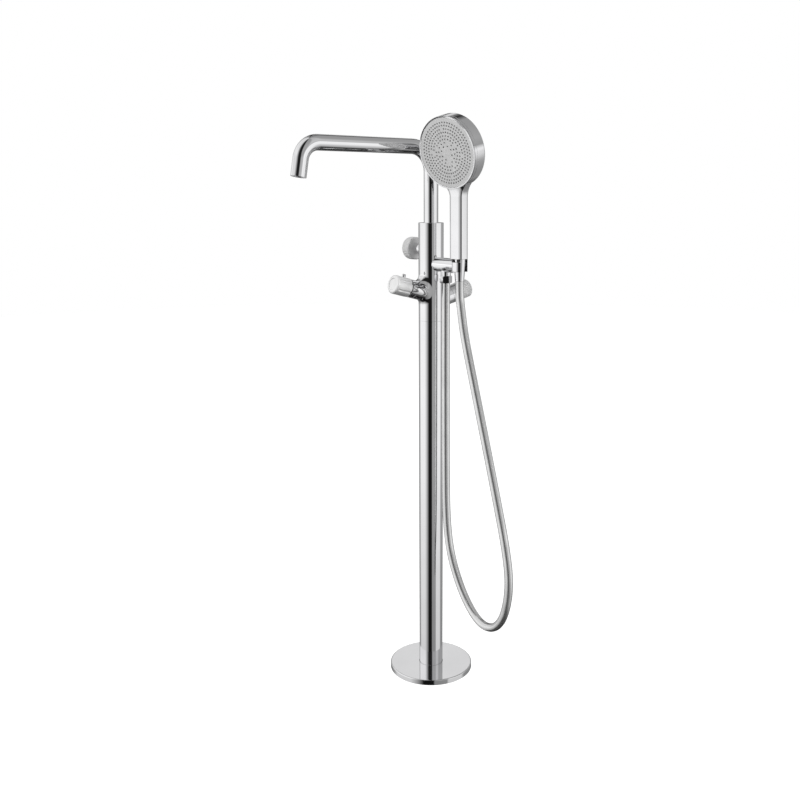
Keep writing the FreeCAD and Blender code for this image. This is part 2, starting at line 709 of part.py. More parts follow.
# Hose: one loop in the plane of the bar, from the hex nut to the cone nut
hose_points = [Vector(0, -distance, height) for distance, height in hose_route]
hose_wire, hose_radii = cord_path(hose_points)
parts["hose"] = pipe(hose_wire, hose_d / 2)
print("hose radii", [round(radius) for radius in hose_radii])
print("hose length", round(hose_wire.Length), "volume ratio",
      round(parts["hose"].Volume / (math.pi * (hose_d / 2) ** 2 * hose_wire.Length), 4))

# Spout: bent tube on a machined spigot that turns in the body
lean = math.radians(spout_drop_lean_deg)
bend_turn = math.pi / 2 - lean


def in_spout_plane(distance, height):
    return Vector(-distance, 0, height)


riser_z = body_top_z + spout_gap
bend_z = spout_axis_z - spout_bend_r
quarter = spout_bend_r * math.sqrt(0.5)
tip_start = in_spout_plane(
    spout_run + spout_bend_r * math.sin(bend_turn), bend_z + spout_bend_r * math.cos(bend_turn))
tip_heading = in_spout_plane(math.sin(lean), -math.cos(lean))
tip_end = tip_start + tip_heading * spout_drop
tip_middle = in_spout_plane(
    spout_run + spout_bend_r * math.sin(bend_turn / 2), bend_z + spout_bend_r * math.cos(bend_turn / 2))
spout_edges = [
    Part.LineSegment(in_spout_plane(0, riser_z), in_spout_plane(0, bend_z)),
    Part.Arc(in_spout_plane(0, bend_z), in_spout_plane(spout_bend_r - quarter, bend_z + quarter),
             in_spout_plane(spout_bend_r, spout_axis_z)),
    Part.LineSegment(in_spout_plane(spout_bend_r, spout_axis_z), in_spout_plane(spout_run, spout_axis_z)),
    Part.Arc(in_spout_plane(spout_run, spout_axis_z), tip_middle, tip_start),
    Part.LineSegment(tip_start, tip_end),
]
spout_wire = Part.Wire([edge.toShape() for edge in spout_edges])
spout_bore_r = spout_r - spout_wall
parts["spout_tube"] = pipe(spout_wire, spout_r).cut(pipe(spout_wire, spout_bore_r))

# Spout spigot with two seals, a lock groove and a thrust washer below it
spigot_low_z = socket_floor_z + thrust_washer_t
spigot_stub_r = spout_bore_r - seat_gap
spigot_stub_z = riser_z + spout_stub_h
spigot_bore_r = spout_r - spout_seal_w - spout_wall - spout_wall
spigot = turned([
    (spigot_bore_r, spigot_low_z), (spout_r, spigot_low_z), (spout_r, riser_z), (spigot_stub_r, riser_z),
    (spigot_stub_r, spigot_stub_z), (spigot_bore_r, spigot_stub_z),
])
seals = []
for height in spout_seal_heights:
    low = socket_floor_z + height
    spigot = spigot.cut(ring(spout_r - spout_seal_w, spout_r + overrun, low, low + spout_seal_h))
    seal_top = low + spout_seal_h - seal_gap
    seals.append(ring(spout_r - spout_seal_w + seal_gap, spout_r, low + seal_gap, seal_top))
spigot = spigot.cut(ring(
    spout_r - lock_groove_depth, spout_r + overrun, lock_z - lock_groove_h / 2, lock_z + lock_groove_h / 2))
parts["spout_spigot"] = spigot
parts["spout_seals"] = Part.makeCompound(seals)
parts["spout_thrust_washer"] = ring(spigot_bore_r, spout_r - clear_gap, socket_floor_z, spigot_low_z)
lock_tip = spout_r - lock_groove_depth + clear_gap
lock_end = column_r - lock_screw_sink
lock_screw_r = lock_screw_d / 2 - seat_gap
lock_screw = turned([
    (0, lock_tip), (lock_tip_d / 2, lock_tip), (lock_tip_d / 2, spout_r + clear_gap),
    (lock_screw_r, spout_r + clear_gap), (lock_screw_r, lock_end), (0, lock_end),
])
parts["spout_lock_screw"] = placed(lock_screw, lock_frame)

# Aerator: housing pressed into the outlet and an insert with a honeycomb of holes
outlet_axis = Placement(tip_end, Rotation(Vector(0, 0, 1), tip_heading))
housing_r = spout_bore_r - seat_gap
insert_r = housing_r - aerator_wall
housing = ring(insert_r, housing_r, -aerator_sink - aerator_h, -aerator_sink)
parts["aerator_housing"] = placed(housing, outlet_axis)
insert_top = -aerator_sink - aerator_sink
insert = rod(insert_r - seat_gap, insert_top - aerator_insert_h, insert_top)
holes = []
for row in range(-aerator_rings, aerator_rings + 1):
    for column in range(-aerator_rings, aerator_rings + 1):
        if abs(row + column) > aerator_rings:
            continue
        hole = rod(aerator_hole_d / 2, insert_top - aerator_insert_h - overrun, insert_top + overrun)
        across = (column + row / 2) * aerator_hole_pitch
        hole.translate(Vector(across, row * aerator_hole_pitch * math.sqrt(0.75), 0))
        holes.append(hole)
parts["aerator_insert"] = placed(insert.cut(Part.makeCompound(holes)), outlet_axis)

# Hand shower frame: X is the way the face looks, Z is up along the handle
shower_frame = upright_frame(0, -cradle_at, shower_turn_deg)
tilt = math.radians(shower_head_tilt_deg)
face_normal = Vector(math.cos(tilt), 0, -math.sin(tilt))
head_r = shower_head_d / 2
handle_neck_z = handle_z + handle_l
face_foot = Vector(face_foot_forward, 0, handle_neck_z + face_foot_rise)
head_centre = face_foot + Vector(math.sin(tilt), 0, math.cos(tilt)) * head_r
head_frame = shower_frame.multiply(Placement(head_centre, Rotation(Vector(0, 0, 1), face_normal)))


def handle_section(width, depth, forward, height):
    """Handle outline at a height: crowned front with tight corners, rounder back."""
    front = forward + depth / 2
    back = forward - depth / 2
    side = width / 2
    corner = handle_front_r * (1 - math.sqrt(0.5))
    heel = handle_back_r * (1 - math.sqrt(0.5))
    points = {
        "front_left": Vector(front, side - handle_front_r, height),
        "left_mid": Vector(front - corner, side - corner, height),
        "left_front": Vector(front - handle_front_r, side, height),
        "left_back": Vector(back + handle_back_r, side, height),
        "left_heel": Vector(back + heel, side - heel, height),
        "back_left": Vector(back, side - handle_back_r, height),
    }
    mirror = {name: Vector(point.x, -point.y, point.z) for name, point in points.items()}
    edges = [
        Part.Arc(mirror["front_left"], Vector(front + handle_crown, 0, height), points["front_left"]),
        Part.Arc(points["front_left"], points["left_mid"], points["left_front"]),
        Part.LineSegment(points["left_front"], points["left_back"]),
        Part.Arc(points["left_back"], points["left_heel"], points["back_left"]),
        Part.LineSegment(points["back_left"], mirror["back_left"]),
        Part.Arc(mirror["back_left"], mirror["left_heel"], mirror["left_back"]),
        Part.LineSegment(mirror["left_back"], mirror["left_front"]),
        Part.Arc(mirror["left_front"], mirror["left_mid"], mirror["front_left"]),
    ]
    return Part.Wire([edge.toShape() for edge in edges])


def flared_section(turn_deg):
    """Handle outline on the flare, where its sides follow an arc out to the head."""
    turn = math.radians(turn_deg)
    growth = handle_flare_r * (1 - math.cos(turn))
    front = growth * flare_front_share
    back = growth * flare_back_share
    return handle_section(
        handle_w + growth + growth, handle_depth + front - back, handle_neck_forward + (front + back) / 2,
        handle_neck_z + handle_flare_r * math.sin(turn))


# Shower shell: dished head and crowned handle in one hollow moulding
head_back_r = head_r - shower_head_back_inset
head = turned([
    (0, -shower_head_depth), (head_back_r, -shower_head_depth), (head_r, -shower_head_side),
    (head_r, 0), (0, 0),
])
head = rounded(head, head_back_r, -shower_head_depth, shower_head_depth - shower_head_side)
head = rounded(head, head_r, -shower_head_side, shower_head_edge_r)
head = placed(head, seam_turn)
grip_foot = handle_section(handle_w, handle_depth, handle_forward, handle_z)
grip = Part.makeLoft([grip_foot, flared_section(0)], True, True)
flare = Part.makeLoft([flared_section(turn_deg) for turn_deg in handle_flare_turns_deg], True, False)
grip = grip.fuse(flare)
shell = placed(grip, shower_frame).fuse(placed(head, head_frame)).removeSplitter()
seat_r = head_r - face_ring_w
face_back = -face_sink - face_t
hollow_r = seat_r - shower_wall
hollow = turned([
    (0, -shower_head_depth + shower_wall), (head_back_r - shower_wall, -shower_head_depth + shower_wall),
    (hollow_r, -shower_head_side), (hollow_r, overrun), (0, overrun),
])
front_seat = rod(head_r + clear_gap, -face_ring_h, shower_head_depth)
handle_bore_r = handle_bore_d / 2
water_turn = Vector(0, 0, handle_neck_z + water_turn_rise)
water_rise = Vector(water_end_forward, 0, water_end_rise - water_turn_rise)
water_way = Part.makeCompound([
    rod(inlet_d / 2 + seat_gap, handle_z - overrun, handle_z + inlet_into_handle),
    rod(handle_bore_r, handle_z, water_turn.z),
    Part.makeSphere(handle_bore_r, water_turn),
    Part.makeCylinder(handle_bore_r, water_rise.Length, water_turn, water_rise),
])
shell = shell.cut(placed(hollow, head_frame)).cut(placed(front_seat, head_frame))
parts["shower_shell"] = shell.cut(placed(water_way, shower_frame))

# Face ring, grey spray face, water plate behind it and the soft nozzles
face_ring = turned([
    (hollow_r - shower_wall, -face_ring_h), (head_r, -face_ring_h), (head_r, 0), (seat_r, 0),
    (seat_r, face_back), (hollow_r - shower_wall, face_back),
])
parts["face_ring"] = placed(rounded(face_ring, head_r, 0, face_sink), head_frame)
face_r = seat_r - seat_gap
parts["spray_face"] = placed(rod(face_r, face_back, -face_sink), head_frame)
plate = rod(hollow_r - shower_wall - clear_gap, face_back - water_plate_t, face_back)
parts["water_plate"] = placed(plate, head_frame)
nozzle = Part.makeCone(nozzle_base_d / 2, nozzle_tip_d / 2, nozzle_h, Vector(0, 0, -face_sink))
nozzles = []
for ring_share, count in zip(nozzle_ring_shares, nozzle_counts):
    first = nozzle.copy()
    first.translate(Vector(ring_share * face_r, 0, 0))
    nozzles += round_pattern(first, count, 180 * ring_share).Solids
parts["spray_nozzles"] = placed(Part.makeCompound(nozzles), head_frame)

# Shower inlet, washer and the cone nut that stands in the cradle
inlet_r = inlet_d / 2
inlet_bore_r = inlet_bore_d / 2
inlet_z = handle_z - inlet_drop
inlet = ring(inlet_bore_r, inlet_r, inlet_z, handle_z + inlet_into_handle)
parts["shower_inlet"] = placed(inlet, shower_frame)
parts["shower_washer"] = placed(ring(inlet_bore_r, inlet_r, inlet_z - washer_t, inlet_z), shower_frame)
nut_cone = turned([
    (inlet_bore_r, cone_nut_z), (cone_nut_bottom_d / 2, cone_nut_z), (cone_nut_top_d / 2, cone_nut_top_z),
    (inlet_r + seat_gap, cone_nut_top_z), (inlet_r + seat_gap, inlet_z - washer_t),
    (inlet_bore_r, inlet_z - washer_t),
])
nut_cone = rounded(nut_cone, cone_nut_bottom_d / 2, cone_nut_z, cone_nut_edge_r)
parts["cone_nut"] = placed(nut_cone, shower_frame)

for name, shape in parts.items():
    shape.exportStep("parts/" + name + ".step")
    valid = shape.isValid() and len(shape.Solids) > 0
    print(name, "solids", len(shape.Solids), "volume", round(shape.Volume, 1), "" if valid else "NOT VALID")
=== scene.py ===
import json
import math

import bmesh
import bpy
from mathutils import Matrix, Vector


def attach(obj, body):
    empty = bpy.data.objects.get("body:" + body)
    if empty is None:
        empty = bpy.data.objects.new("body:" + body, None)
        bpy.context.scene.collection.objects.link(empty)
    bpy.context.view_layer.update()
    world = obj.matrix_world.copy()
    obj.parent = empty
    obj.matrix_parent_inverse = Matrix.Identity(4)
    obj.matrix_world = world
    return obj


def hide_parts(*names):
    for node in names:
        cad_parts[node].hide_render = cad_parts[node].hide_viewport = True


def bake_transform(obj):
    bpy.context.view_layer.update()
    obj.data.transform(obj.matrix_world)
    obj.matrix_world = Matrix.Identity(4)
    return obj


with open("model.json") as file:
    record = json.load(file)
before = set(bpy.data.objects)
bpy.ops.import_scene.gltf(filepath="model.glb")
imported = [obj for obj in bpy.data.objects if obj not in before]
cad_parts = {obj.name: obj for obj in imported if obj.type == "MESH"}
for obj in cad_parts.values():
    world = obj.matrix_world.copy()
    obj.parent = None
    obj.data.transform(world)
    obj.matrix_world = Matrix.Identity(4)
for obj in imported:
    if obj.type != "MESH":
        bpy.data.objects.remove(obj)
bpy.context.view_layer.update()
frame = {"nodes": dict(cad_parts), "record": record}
cad = frame["nodes"]

# Base cover: a turned and chrome-plated brass dish that lies on the floor and hides the bolts.
# It slips down the column and is polished all over, with a small rounding on its rim.
# Sizes are in millimetres, which MM turns into metres; the hose's route and the studio are in metres.
MM = 0.001
ripple_depth = 0.1
cover_r, cover_h, cover_wall = 74, 9.5, 2
cover_bore_r, hub_r, hub_low = 21.3, 26.3, 3.3
foot_edge, rim_edge, bore_edge = 0.3, 1.6, 0.4


def plate_group():
    """Node group for plated metal: cloudy polish and a very fine ripple."""
    group = bpy.data.node_groups.new("plated_surface", "ShaderNodeTree")
    face = group.interface
    for label, default in (("Roughness", 0.05), ("Cloud", 0.04), ("Scale", 30.0)):
        face.new_socket(label, in_out="INPUT", socket_type="NodeSocketFloat").default_value = default
    for label in ("Light", "Shade"):
        face.new_socket(label, in_out="INPUT", socket_type="NodeSocketColor")
    face.new_socket("Color", in_out="OUTPUT", socket_type="NodeSocketColor")
    face.new_socket("Roughness", in_out="OUTPUT", socket_type="NodeSocketFloat")
    face.new_socket("Height", in_out="OUTPUT", socket_type="NodeSocketFloat")
    add, link = group.nodes.new, group.links.new
    inside, outside, place = add("NodeGroupInput"), add("NodeGroupOutput"), add("ShaderNodeTexCoord")
    cloud, ripple = add("ShaderNodeTexNoise"), add("ShaderNodeTexNoise")
    cloud.inputs["Detail"].default_value = 4.0
    ripple.inputs["Detail"].default_value = 1.0
    ripple.inputs["Scale"].default_value = 260.0
    link(place.outputs["Object"], cloud.inputs["Vector"])
    link(place.outputs["Object"], ripple.inputs["Vector"])
    link(inside.outputs["Scale"], cloud.inputs["Scale"])
    spread, rough, tint = add("ShaderNodeMapRange"), add("ShaderNodeMath"), add("ShaderNodeMix")
    spread.inputs["From Min"].default_value = 0.35
    spread.inputs["From Max"].default_value = 0.7
    link(cloud.outputs["Fac"], spread.inputs["Value"])
    rough.operation = "MULTIPLY_ADD"
    link(spread.outputs["Result"], rough.inputs[0])
    link(inside.outputs["Cloud"], rough.inputs[1])
    link(inside.outputs["Roughness"], rough.inputs[2])
    tint.data_type = "RGBA"
    link(spread.outputs["Result"], tint.inputs["Factor"])
    link(inside.outputs["Light"], tint.inputs["A"])
    link(inside.outputs["Shade"], tint.inputs["B"])
    link(tint.outputs["Result"], outside.inputs["Color"])
    link(rough.outputs["Value"], outside.inputs["Roughness"])
    link(ripple.outputs["Fac"], outside.inputs["Height"])
    return group


plated_surface = plate_group()


def finish(name, light, shade, roughness, cloud=0.03, scale=30.0, metallic=1.0, ripple=0.0):
    """Material with the plated-surface group; plain values go straight to its shader."""
    material = bpy.data.materials.new(name)
    material.use_nodes = True
    nodes, link = material.node_tree.nodes, material.node_tree.links.new
    shader = nodes["Principled BSDF"]
    shader.inputs["Metallic"].default_value = metallic
    surface = nodes.new("ShaderNodeGroup")
    surface.node_tree = plated_surface
    surface.inputs["Roughness"].default_value = roughness
    surface.inputs["Cloud"].default_value = cloud
    surface.inputs["Scale"].default_value = scale
    surface.inputs["Light"].default_value = (*light, 1.0)
    surface.inputs["Shade"].default_value = (*shade, 1.0)
    link(surface.outputs["Color"], shader.inputs["Base Color"])
    link(surface.outputs["Roughness"], shader.inputs["Roughness"])
    if ripple:
        bump = nodes.new("ShaderNodeBump")
        bump.inputs["Strength"].default_value = ripple
        bump.inputs["Distance"].default_value = ripple_depth * MM
        link(surface.outputs["Height"], bump.inputs["Height"])
        link(bump.outputs["Normal"], shader.inputs["Normal"])
    return material


def grey(level):
    """Colour with no tint at the given lightness."""
    return (level, level, level)


chrome = finish("chrome", (0.90, 0.90, 0.91), (0.86, 0.86, 0.87), roughness=0.035, scale=18.0)


def soften(corners, bits=6):
    """Outline points from (radius, height) or (radius, height, rounding) corners."""
    points = []
    for index, corner in enumerate(corners):
        here = Vector(corner[:2])
        if len(corner) == 2:
            points.append(here)
            continue
        before = (Vector(corners[index - 1][:2]) - here).normalized()
        after = (Vector(corners[(index + 1) % len(corners)][:2]) - here).normalized()
        half = before.angle(after) / 2
        centre = here + (before + after).normalized() * corner[2] / math.sin(half)
        start = here + before * corner[2] / math.tan(half) - centre
        end = here + after * corner[2] / math.tan(half) - centre
        sweep = start.angle(end)
        for bit in range(bits + 1):
            share = bit / bits
            blend = start * math.sin((1 - share) * sweep) + end * math.sin(share * sweep)
            points.append(centre + blend / math.sin(sweep))
    return points


def join_rows(mesh, rows, closed=False):
    """Faces between rows of points, each row a loop; closed also joins the last row to the first."""
    for low, high in zip(rows, rows[1:] + rows[:1] if closed else rows[1:]):
        for step in range(len(low)):
            after = (step + 1) % len(low)
            corners = tuple(dict.fromkeys((low[step], low[after], high[after], high[step])))
            if len(corners) > 2:
                mesh.faces.new(corners)


def turned(corners, place=Matrix(), steps=96, shape=None, bits=6, mesh=None):
    """Closed turned solid in millimetres; shape(turn, radius, height) may change the radius."""
    mesh = mesh or bmesh.new()
    rows = []
    for point in soften(corners, bits):
        row = []
        on_axis = point.x < 1e-6
        for step in range(steps):
            if on_axis and row:
                row.append(row[0])
                continue
            turn = 2 * math.pi * step / steps
            radius = shape(turn, point.x, point.y) if shape else point.x
            spot = Vector((radius * math.cos(turn), radius * math.sin(turn), point.y))
            row.append(mesh.verts.new(place @ (spot * MM)))
        rows.append(row)
    join_rows(mesh, rows, closed=True)
    return mesh


def piece(name, mesh, material, body, node, sharp=32.0, weighted=True):
    """Makes the object, shades it, puts it on its body or bakes its place in, and hides its CAD node."""
    bmesh.ops.recalc_face_normals(mesh, faces=mesh.faces)
    data = bpy.data.meshes.new(name)
    mesh.to_mesh(data)
    mesh.free()
    data.materials.append(material)
    data.shade_smooth()
    data.set_sharp_from_angle(angle=math.radians(sharp))
    thing = bpy.data.objects.new(name, data)
    bpy.context.scene.collection.objects.link(thing)
    if weighted:
        normals = thing.modifiers.new("even_normals", "WEIGHTED_NORMAL")
        normals.keep_sharp = True
    if isinstance(body, str):
        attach(thing, body)
    else:
        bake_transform(thing)
    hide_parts(node)


cover_inner_r, cover_under = cover_r - cover_wall, cover_h - cover_wall
cover = turned(
    [(cover_bore_r, hub_low), (hub_r, hub_low), (hub_r, cover_under), (cover_inner_r, cover_under),
     (cover_inner_r, 0), (cover_r, 0, foot_edge), (cover_r, cover_h, rim_edge),
     (cover_bore_r, cover_h, bore_edge)], steps=160)
piece("floor_cover", cover, chrome, "stand", "base_cover")

# Column: a drawn brass tube, plated and polished, standing on the flange's spigot.
# Its upper end meets the valve body in a fine joint line.
column_r, column_bore_r = 21, 19
column_low, column_high = 3, 640
joint_edge, joint_gap = 0.25, 0.02
column = turned(
    [(column_bore_r, column_low), (column_r, column_low), (column_r, column_high, joint_edge),
     (column_bore_r, column_high)], steps=128)
piece("column", column, chrome, "stand", "column_tube")

# Valve body: a brass casting with two raised arms that run into the column in smooth fillets.
# It is ground and plated as one with the column, and the spout turns in its top.
body_low, body_top = column_high + joint_gap, 803
socket_r, socket_floor = 12.05, 772
top_edge, socket_edge = 0.7, 0.2
rise = math.radians(15)
warm_arm_z, flow_arm_z = 684.5, 670.5
arm_r, arm_end = 15.0, 39.4
top_fillet_r, side_fillet_r = 10.0, 22.0


def local_frame(origin, along, upper):
    """Matrix whose Z runs along an axis and whose X is its upper side, from millimetres."""
    z = Vector(along).normalized()
    x = (Vector(upper) - z * z.dot(Vector(upper))).normalized()
    y = z.cross(x)
    matrix = Matrix((x, y, z)).transposed().to_4x4()
    matrix.translation = Vector(origin) * MM
    return matrix


warm_arm = local_frame((0, 0, warm_arm_z), (-math.cos(rise), 0, math.sin(rise)), (0, 0, 1))
flow_arm = local_frame((0, 0, flow_arm_z), (math.cos(rise), 0, math.sin(rise)), (0, 0, 1))


def filleted_arm(mesh, place, edge=0.25, steps=128, bits=14):
    """Round arm that leaves the column in a fillet, wider at its sides, closed at its outer end."""
    origin = place.translation / MM
    turn_part = place.to_3x3()
    along = turn_part.col[2]
    flat_along = Vector((along.x, along.y))
    rows = [[] for _ in range(bits + 3)]
    for step in range(steps):
        turn = 2 * math.pi * step / steps
        out = turn_part @ Vector((math.cos(turn), math.sin(turn), 0))
        fillet_r = top_fillet_r + (side_fillet_r - top_fillet_r) * math.sin(turn) ** 2
        # The fillet's centre lies where a line along the arm is one fillet radius off the column
        start = origin + out * (arm_r + fillet_r)
        flat_start = Vector((start.x, start.y))
        a, b = flat_along.dot(flat_along), flat_start.dot(flat_along)
        c = flat_start.dot(flat_start) - (column_r + fillet_r) ** 2
        centre = start + along * ((-b + math.sqrt(b * b - a * c)) / a)
        to_column = -Vector((centre.x, centre.y, 0)).normalized()
        to_arm = -out
        sweep = to_column.angle(to_arm)
        for bit in range(bits + 1):
            share = bit / bits
            way = to_column * math.sin((1 - share) * sweep) + to_arm * math.sin(share * sweep)
            rows[bit].append(mesh.verts.new((centre + way / math.sin(sweep) * fillet_r) * MM))
        rows[bits + 1].append(mesh.verts.new((origin + out * arm_r + along * (arm_end - edge)) * MM))
        rows[bits + 2].append(mesh.verts.new((origin + out * (arm_r - edge) + along * arm_end) * MM))
    join_rows(mesh, rows)
    mesh.faces.new(rows[-1])
    mesh.faces.new(list(reversed(rows[0])))


body = turned(
    [(0, body_low), (column_r, body_low, joint_edge), (column_r, body_top, top_edge),
     (socket_r, body_top, socket_edge), (socket_r, socket_floor), (0, socket_floor)], steps=128)
for arm in (warm_arm, flow_arm):
    filleted_arm(body, arm)
piece("body_casting", body, chrome, "stand", "valve_body")

# Thermostat: a short collar with a small pressed pointer, a black stop ring and a lobed handle.
# The handle is satin plated and has a push button in its top groove that frees the hot range.
satin = finish("satin_chrome", grey(0.85), grey(0.77), roughness=0.34, cloud=0.10, scale=55.0, metallic=0.4,
               ripple=0.25)
black = finish("black_plastic", grey(0.018), grey(0.03), roughness=0.36, cloud=0.12, scale=60.0,
               metallic=0.0, ripple=0.4)
collar_r, collar_bore_r, collar_end = 15, 12.05, 48.8
collar_foot, collar_edge = 0.2, 0.4
pointer_turn, pointer_tip = math.radians(276), 39.8
pointer_length, pointer_half_w = 5.8, 2.7
pointer_depth, pointer_slope = 0.5, 0.25


def fine_rows(radius, start, gap, count):
    """Close rows of points up a straight side, for a shape that changes along it."""
    return [(radius, start + gap * row) for row in range(count)]


def pointer_dent(turn, radius, height):
    """Pulls the collar in inside the pointer's triangle, whose tip is at the arm."""
    if radius < collar_r - collar_foot / 2:
        return radius
    across = (turn - pointer_turn) * collar_r
    share = (height - pointer_tip) / pointer_length
    to_edge = min(pointer_half_w * share - abs(across), pointer_tip + pointer_length - height)
    inside = min(max(to_edge / pointer_slope, 0.0), 1.0) if 0 < share < 1 else 0.0
    return radius - pointer_depth * inside


collar = turned(
    [(collar_bore_r, arm_end), (collar_r - collar_foot, arm_end)]
    + fine_rows(collar_r, arm_end + collar_foot, gap=0.2, count=33)
    + [(collar_r, collar_end, collar_edge), (collar_bore_r, collar_end)],
    warm_arm, steps=420, shape=pointer_dent)
piece("thermostat_sleeve", collar, chrome, "stand", "thermostat_collar", sharp=50)

stop_ring_r, stop_ring_bore_r, stop_ring_end, stop_ring_edge = 13.7, 4.3, 50.4, 0.2
stop_ring = turned(
    [(stop_ring_bore_r, collar_end), (stop_ring_r, collar_end),
     (stop_ring_r, stop_ring_end, stop_ring_edge), (stop_ring_bore_r, stop_ring_end)], warm_arm)
piece("thermostat_black_ring", stop_ring, black, "stand", "thermostat_stop_ring")

handle_gap = 0.3
warm_grip_r, warm_grip_start, warm_grip_end = 15.5, stop_ring_end + handle_gap, 81.3
warm_bore_r, warm_bore_end, warm_foot = 11.5, 71.3, 0.2
warm_row_start, warm_row_gap, warm_row_count = 51.0, 0.8, 33
warm_end_rounding, warm_recess_edge = 4.0, 0.7
cap_r, cap_gap, cap_recess = 9.5, 0.05, 2.4
spindle_bore_r = 4.05
groove_count, groove_r, groove_depth = 6, 2.6, 1.8
groove_end, groove_fade = 76.5, 1.6
round_below_r = 12.5


def lobes(turn, radius, height):
    """Shallow grooves along the handle's outside that fade out before its rounded end."""
    if radius < round_below_r:
        return radius
    pitch = 2 * math.pi / groove_count
    offset = (turn + pitch / 2) % pitch - pitch / 2
    axis_r = warm_grip_r + groove_r - groove_depth
    reach = groove_r ** 2 - (axis_r * math.sin(offset)) ** 2
    groove = axis_r * math.cos(offset) - math.sqrt(reach) if reach > 0 else radius
    fade = min(max((groove_end - height) / groove_fade, 0.0), 1.0)
    return radius - max(radius - groove, 0.0) * fade


def recessed_end(end, recess_edge, bore_r, bore_end, spindle_r):
    """Outline of a handle's end and inside: the cap's recess, the spindle's bore and the wide bore."""
    floor = end - cap_recess
    return [(cap_r + cap_gap, end, recess_edge), (cap_r + cap_gap, floor), (spindle_r, floor),
            (spindle_r, bore_end), (bore_r, bore_end)]


def end_cap(place, end, edge, sunk=0.0, crown=0.0):
    """Disc in the recess of a handle's end, sunk a little below the handle where asked."""
    floor, top = end - cap_recess, end - sunk
    return turned([(0, floor), (cap_r, floor), (cap_r, top, edge), (0, top + crown)], place)


grip = turned(
    [(warm_bore_r, warm_grip_start), (warm_grip_r - warm_foot, warm_grip_start)]
    + fine_rows(warm_grip_r, warm_row_start, warm_row_gap, warm_row_count)
    + [(warm_grip_r, warm_grip_end, warm_end_rounding)]
    + recessed_end(warm_grip_end, warm_recess_edge, warm_bore_r, warm_bore_end, spindle_bore_r),
    warm_arm, steps=360, shape=lobes, bits=10)
piece("thermostat_grip", grip, satin, "thermostat", "thermostat_handle", sharp=28)
grip_cap = end_cap(warm_arm, warm_grip_end, edge=0.7, sunk=0.6, crown=0.1)
piece("thermostat_end_cap", grip_cap, satin, "thermostat", "thermostat_cap")

button_along, button_low, button_top = 62.3, 9.0, 20.4
button_r, button_foot_r, button_foot_top, button_edge = 3.1, 4.2, 10.4, 0.8
button_place = local_frame(
    Vector((0, 0, warm_arm_z)) + Vector((-math.cos(rise), 0, math.sin(rise))) * button_along,
    (math.sin(rise), 0, math.cos(rise)), (0, 1, 0))
button = turned(
    [(0, button_low), (button_foot_r, button_low), (button_foot_r, button_foot_top),
     (button_r, button_foot_top), (button_r, button_top, button_edge), (0, button_top)],
    button_place, steps=48)
piece("hot_range_button", button, chrome, "safety_button", "safety_button")

steel = finish("plain_steel", grey(0.56), grey(0.46), roughness=0.26, cloud=0.12, scale=60.0)
coil_low, coil_high, coil_r, coil_wire_r, coil_turns = 4.65, 8.35, 2.15, 0.35, 3.5


def coil_spring(place, steps=140, sides=10):
    """Open coil of round wire along the Z of its place."""
    mesh = bmesh.new()
    rows = []
    for step in range(steps + 1):
        turn = 2 * math.pi * coil_turns * step / steps
        out = Vector((math.cos(turn), math.sin(turn), 0))
        centre = out * coil_r + Vector((0, 0, coil_low + (coil_high - coil_low) * step / steps))
        row = []
        for side in range(sides):
            angle = 2 * math.pi * side / sides
            aside, up = coil_wire_r * math.cos(angle), coil_wire_r * math.sin(angle)
            row.append(mesh.verts.new(place @ ((centre + out * aside + Vector((0, 0, up))) * MM)))
        rows.append(row)
    join_rows(mesh, rows)
    mesh.faces.new(list(reversed(rows[0])))
    mesh.faces.new(rows[-1])
    return mesh


coil_ends = [tuple(button_place @ Vector((0, 0, height * MM))) for height in (coil_low, coil_high)]
coil = coil_spring(button_place)
piece("button_coil", coil, steel, ("thermostat", "safety_button", *coil_ends), "button_spring",
      weighted=False)

# Flow side: a smooth collar over the cartridge and a quarter-turn handle with fine flutes.
# The flutes are rolled into the handle's side, and its end is rounded with an inset cap.
# The handles with flutes take a darker copy of the satin: painted shade that stands in for the shade falling
# in their flutes.
satin_with_painted_shade = finish("satin_painted_flute_shade", grey(0.68), grey(0.60), roughness=0.38, cloud=0.10, scale=55.0, metallic=0.4,
                ripple=0.25)
flow_sleeve_r, flow_sleeve_bore_r, flow_sleeve_end = 15.2, 10, 58
flow_sleeve_foot, flow_sleeve_edge = 0.2, 0.5
flow_grip_r, flow_grip_start, flow_grip_end = 15.6, flow_sleeve_end + handle_gap, 80.5
flow_bore_r, flow_bore_end = 11.6, 70.5
flow_foot, flow_end_rounding = 0.4, 3.0
recess_edge, cap_edge = 0.3, 0.5


def flutes(count, outer, depth, fade=1.6):
    """Radius change for straight flutes round a handle, which fade out over its rounded ends."""
    def shape(turn, radius, height):
        wave = 0.5 + 0.5 * math.cos(count * turn)
        return radius - depth * wave ** 2 * min(max((radius - outer) / fade + 1, 0.0), 1.0)
    return shape


flow_sleeve = turned(
    [(flow_sleeve_bore_r, arm_end), (flow_sleeve_r, arm_end, flow_sleeve_foot),
     (flow_sleeve_r, flow_sleeve_end, flow_sleeve_edge), (flow_sleeve_bore_r, flow_sleeve_end)], flow_arm)
piece("flow_sleeve", flow_sleeve, chrome, "stand", "flow_collar")
flow_grip = turned(
    [(flow_bore_r, flow_grip_start), (flow_grip_r, flow_grip_start, flow_foot),
     (flow_grip_r, flow_grip_end, flow_end_rounding)]
    + recessed_end(flow_grip_end, recess_edge, flow_bore_r, flow_bore_end, spindle_bore_r),
    flow_arm, steps=360, shape=flutes(30, flow_grip_r, depth=0.6), bits=8)
piece("flow_grip", flow_grip, satin_with_painted_shade, "flow", "flow_handle", sharp=40)
flow_end_cap = end_cap(flow_arm, flow_grip_end, cap_edge)
piece("flow_end_cap", flow_end_cap, satin, "flow", "flow_cap")
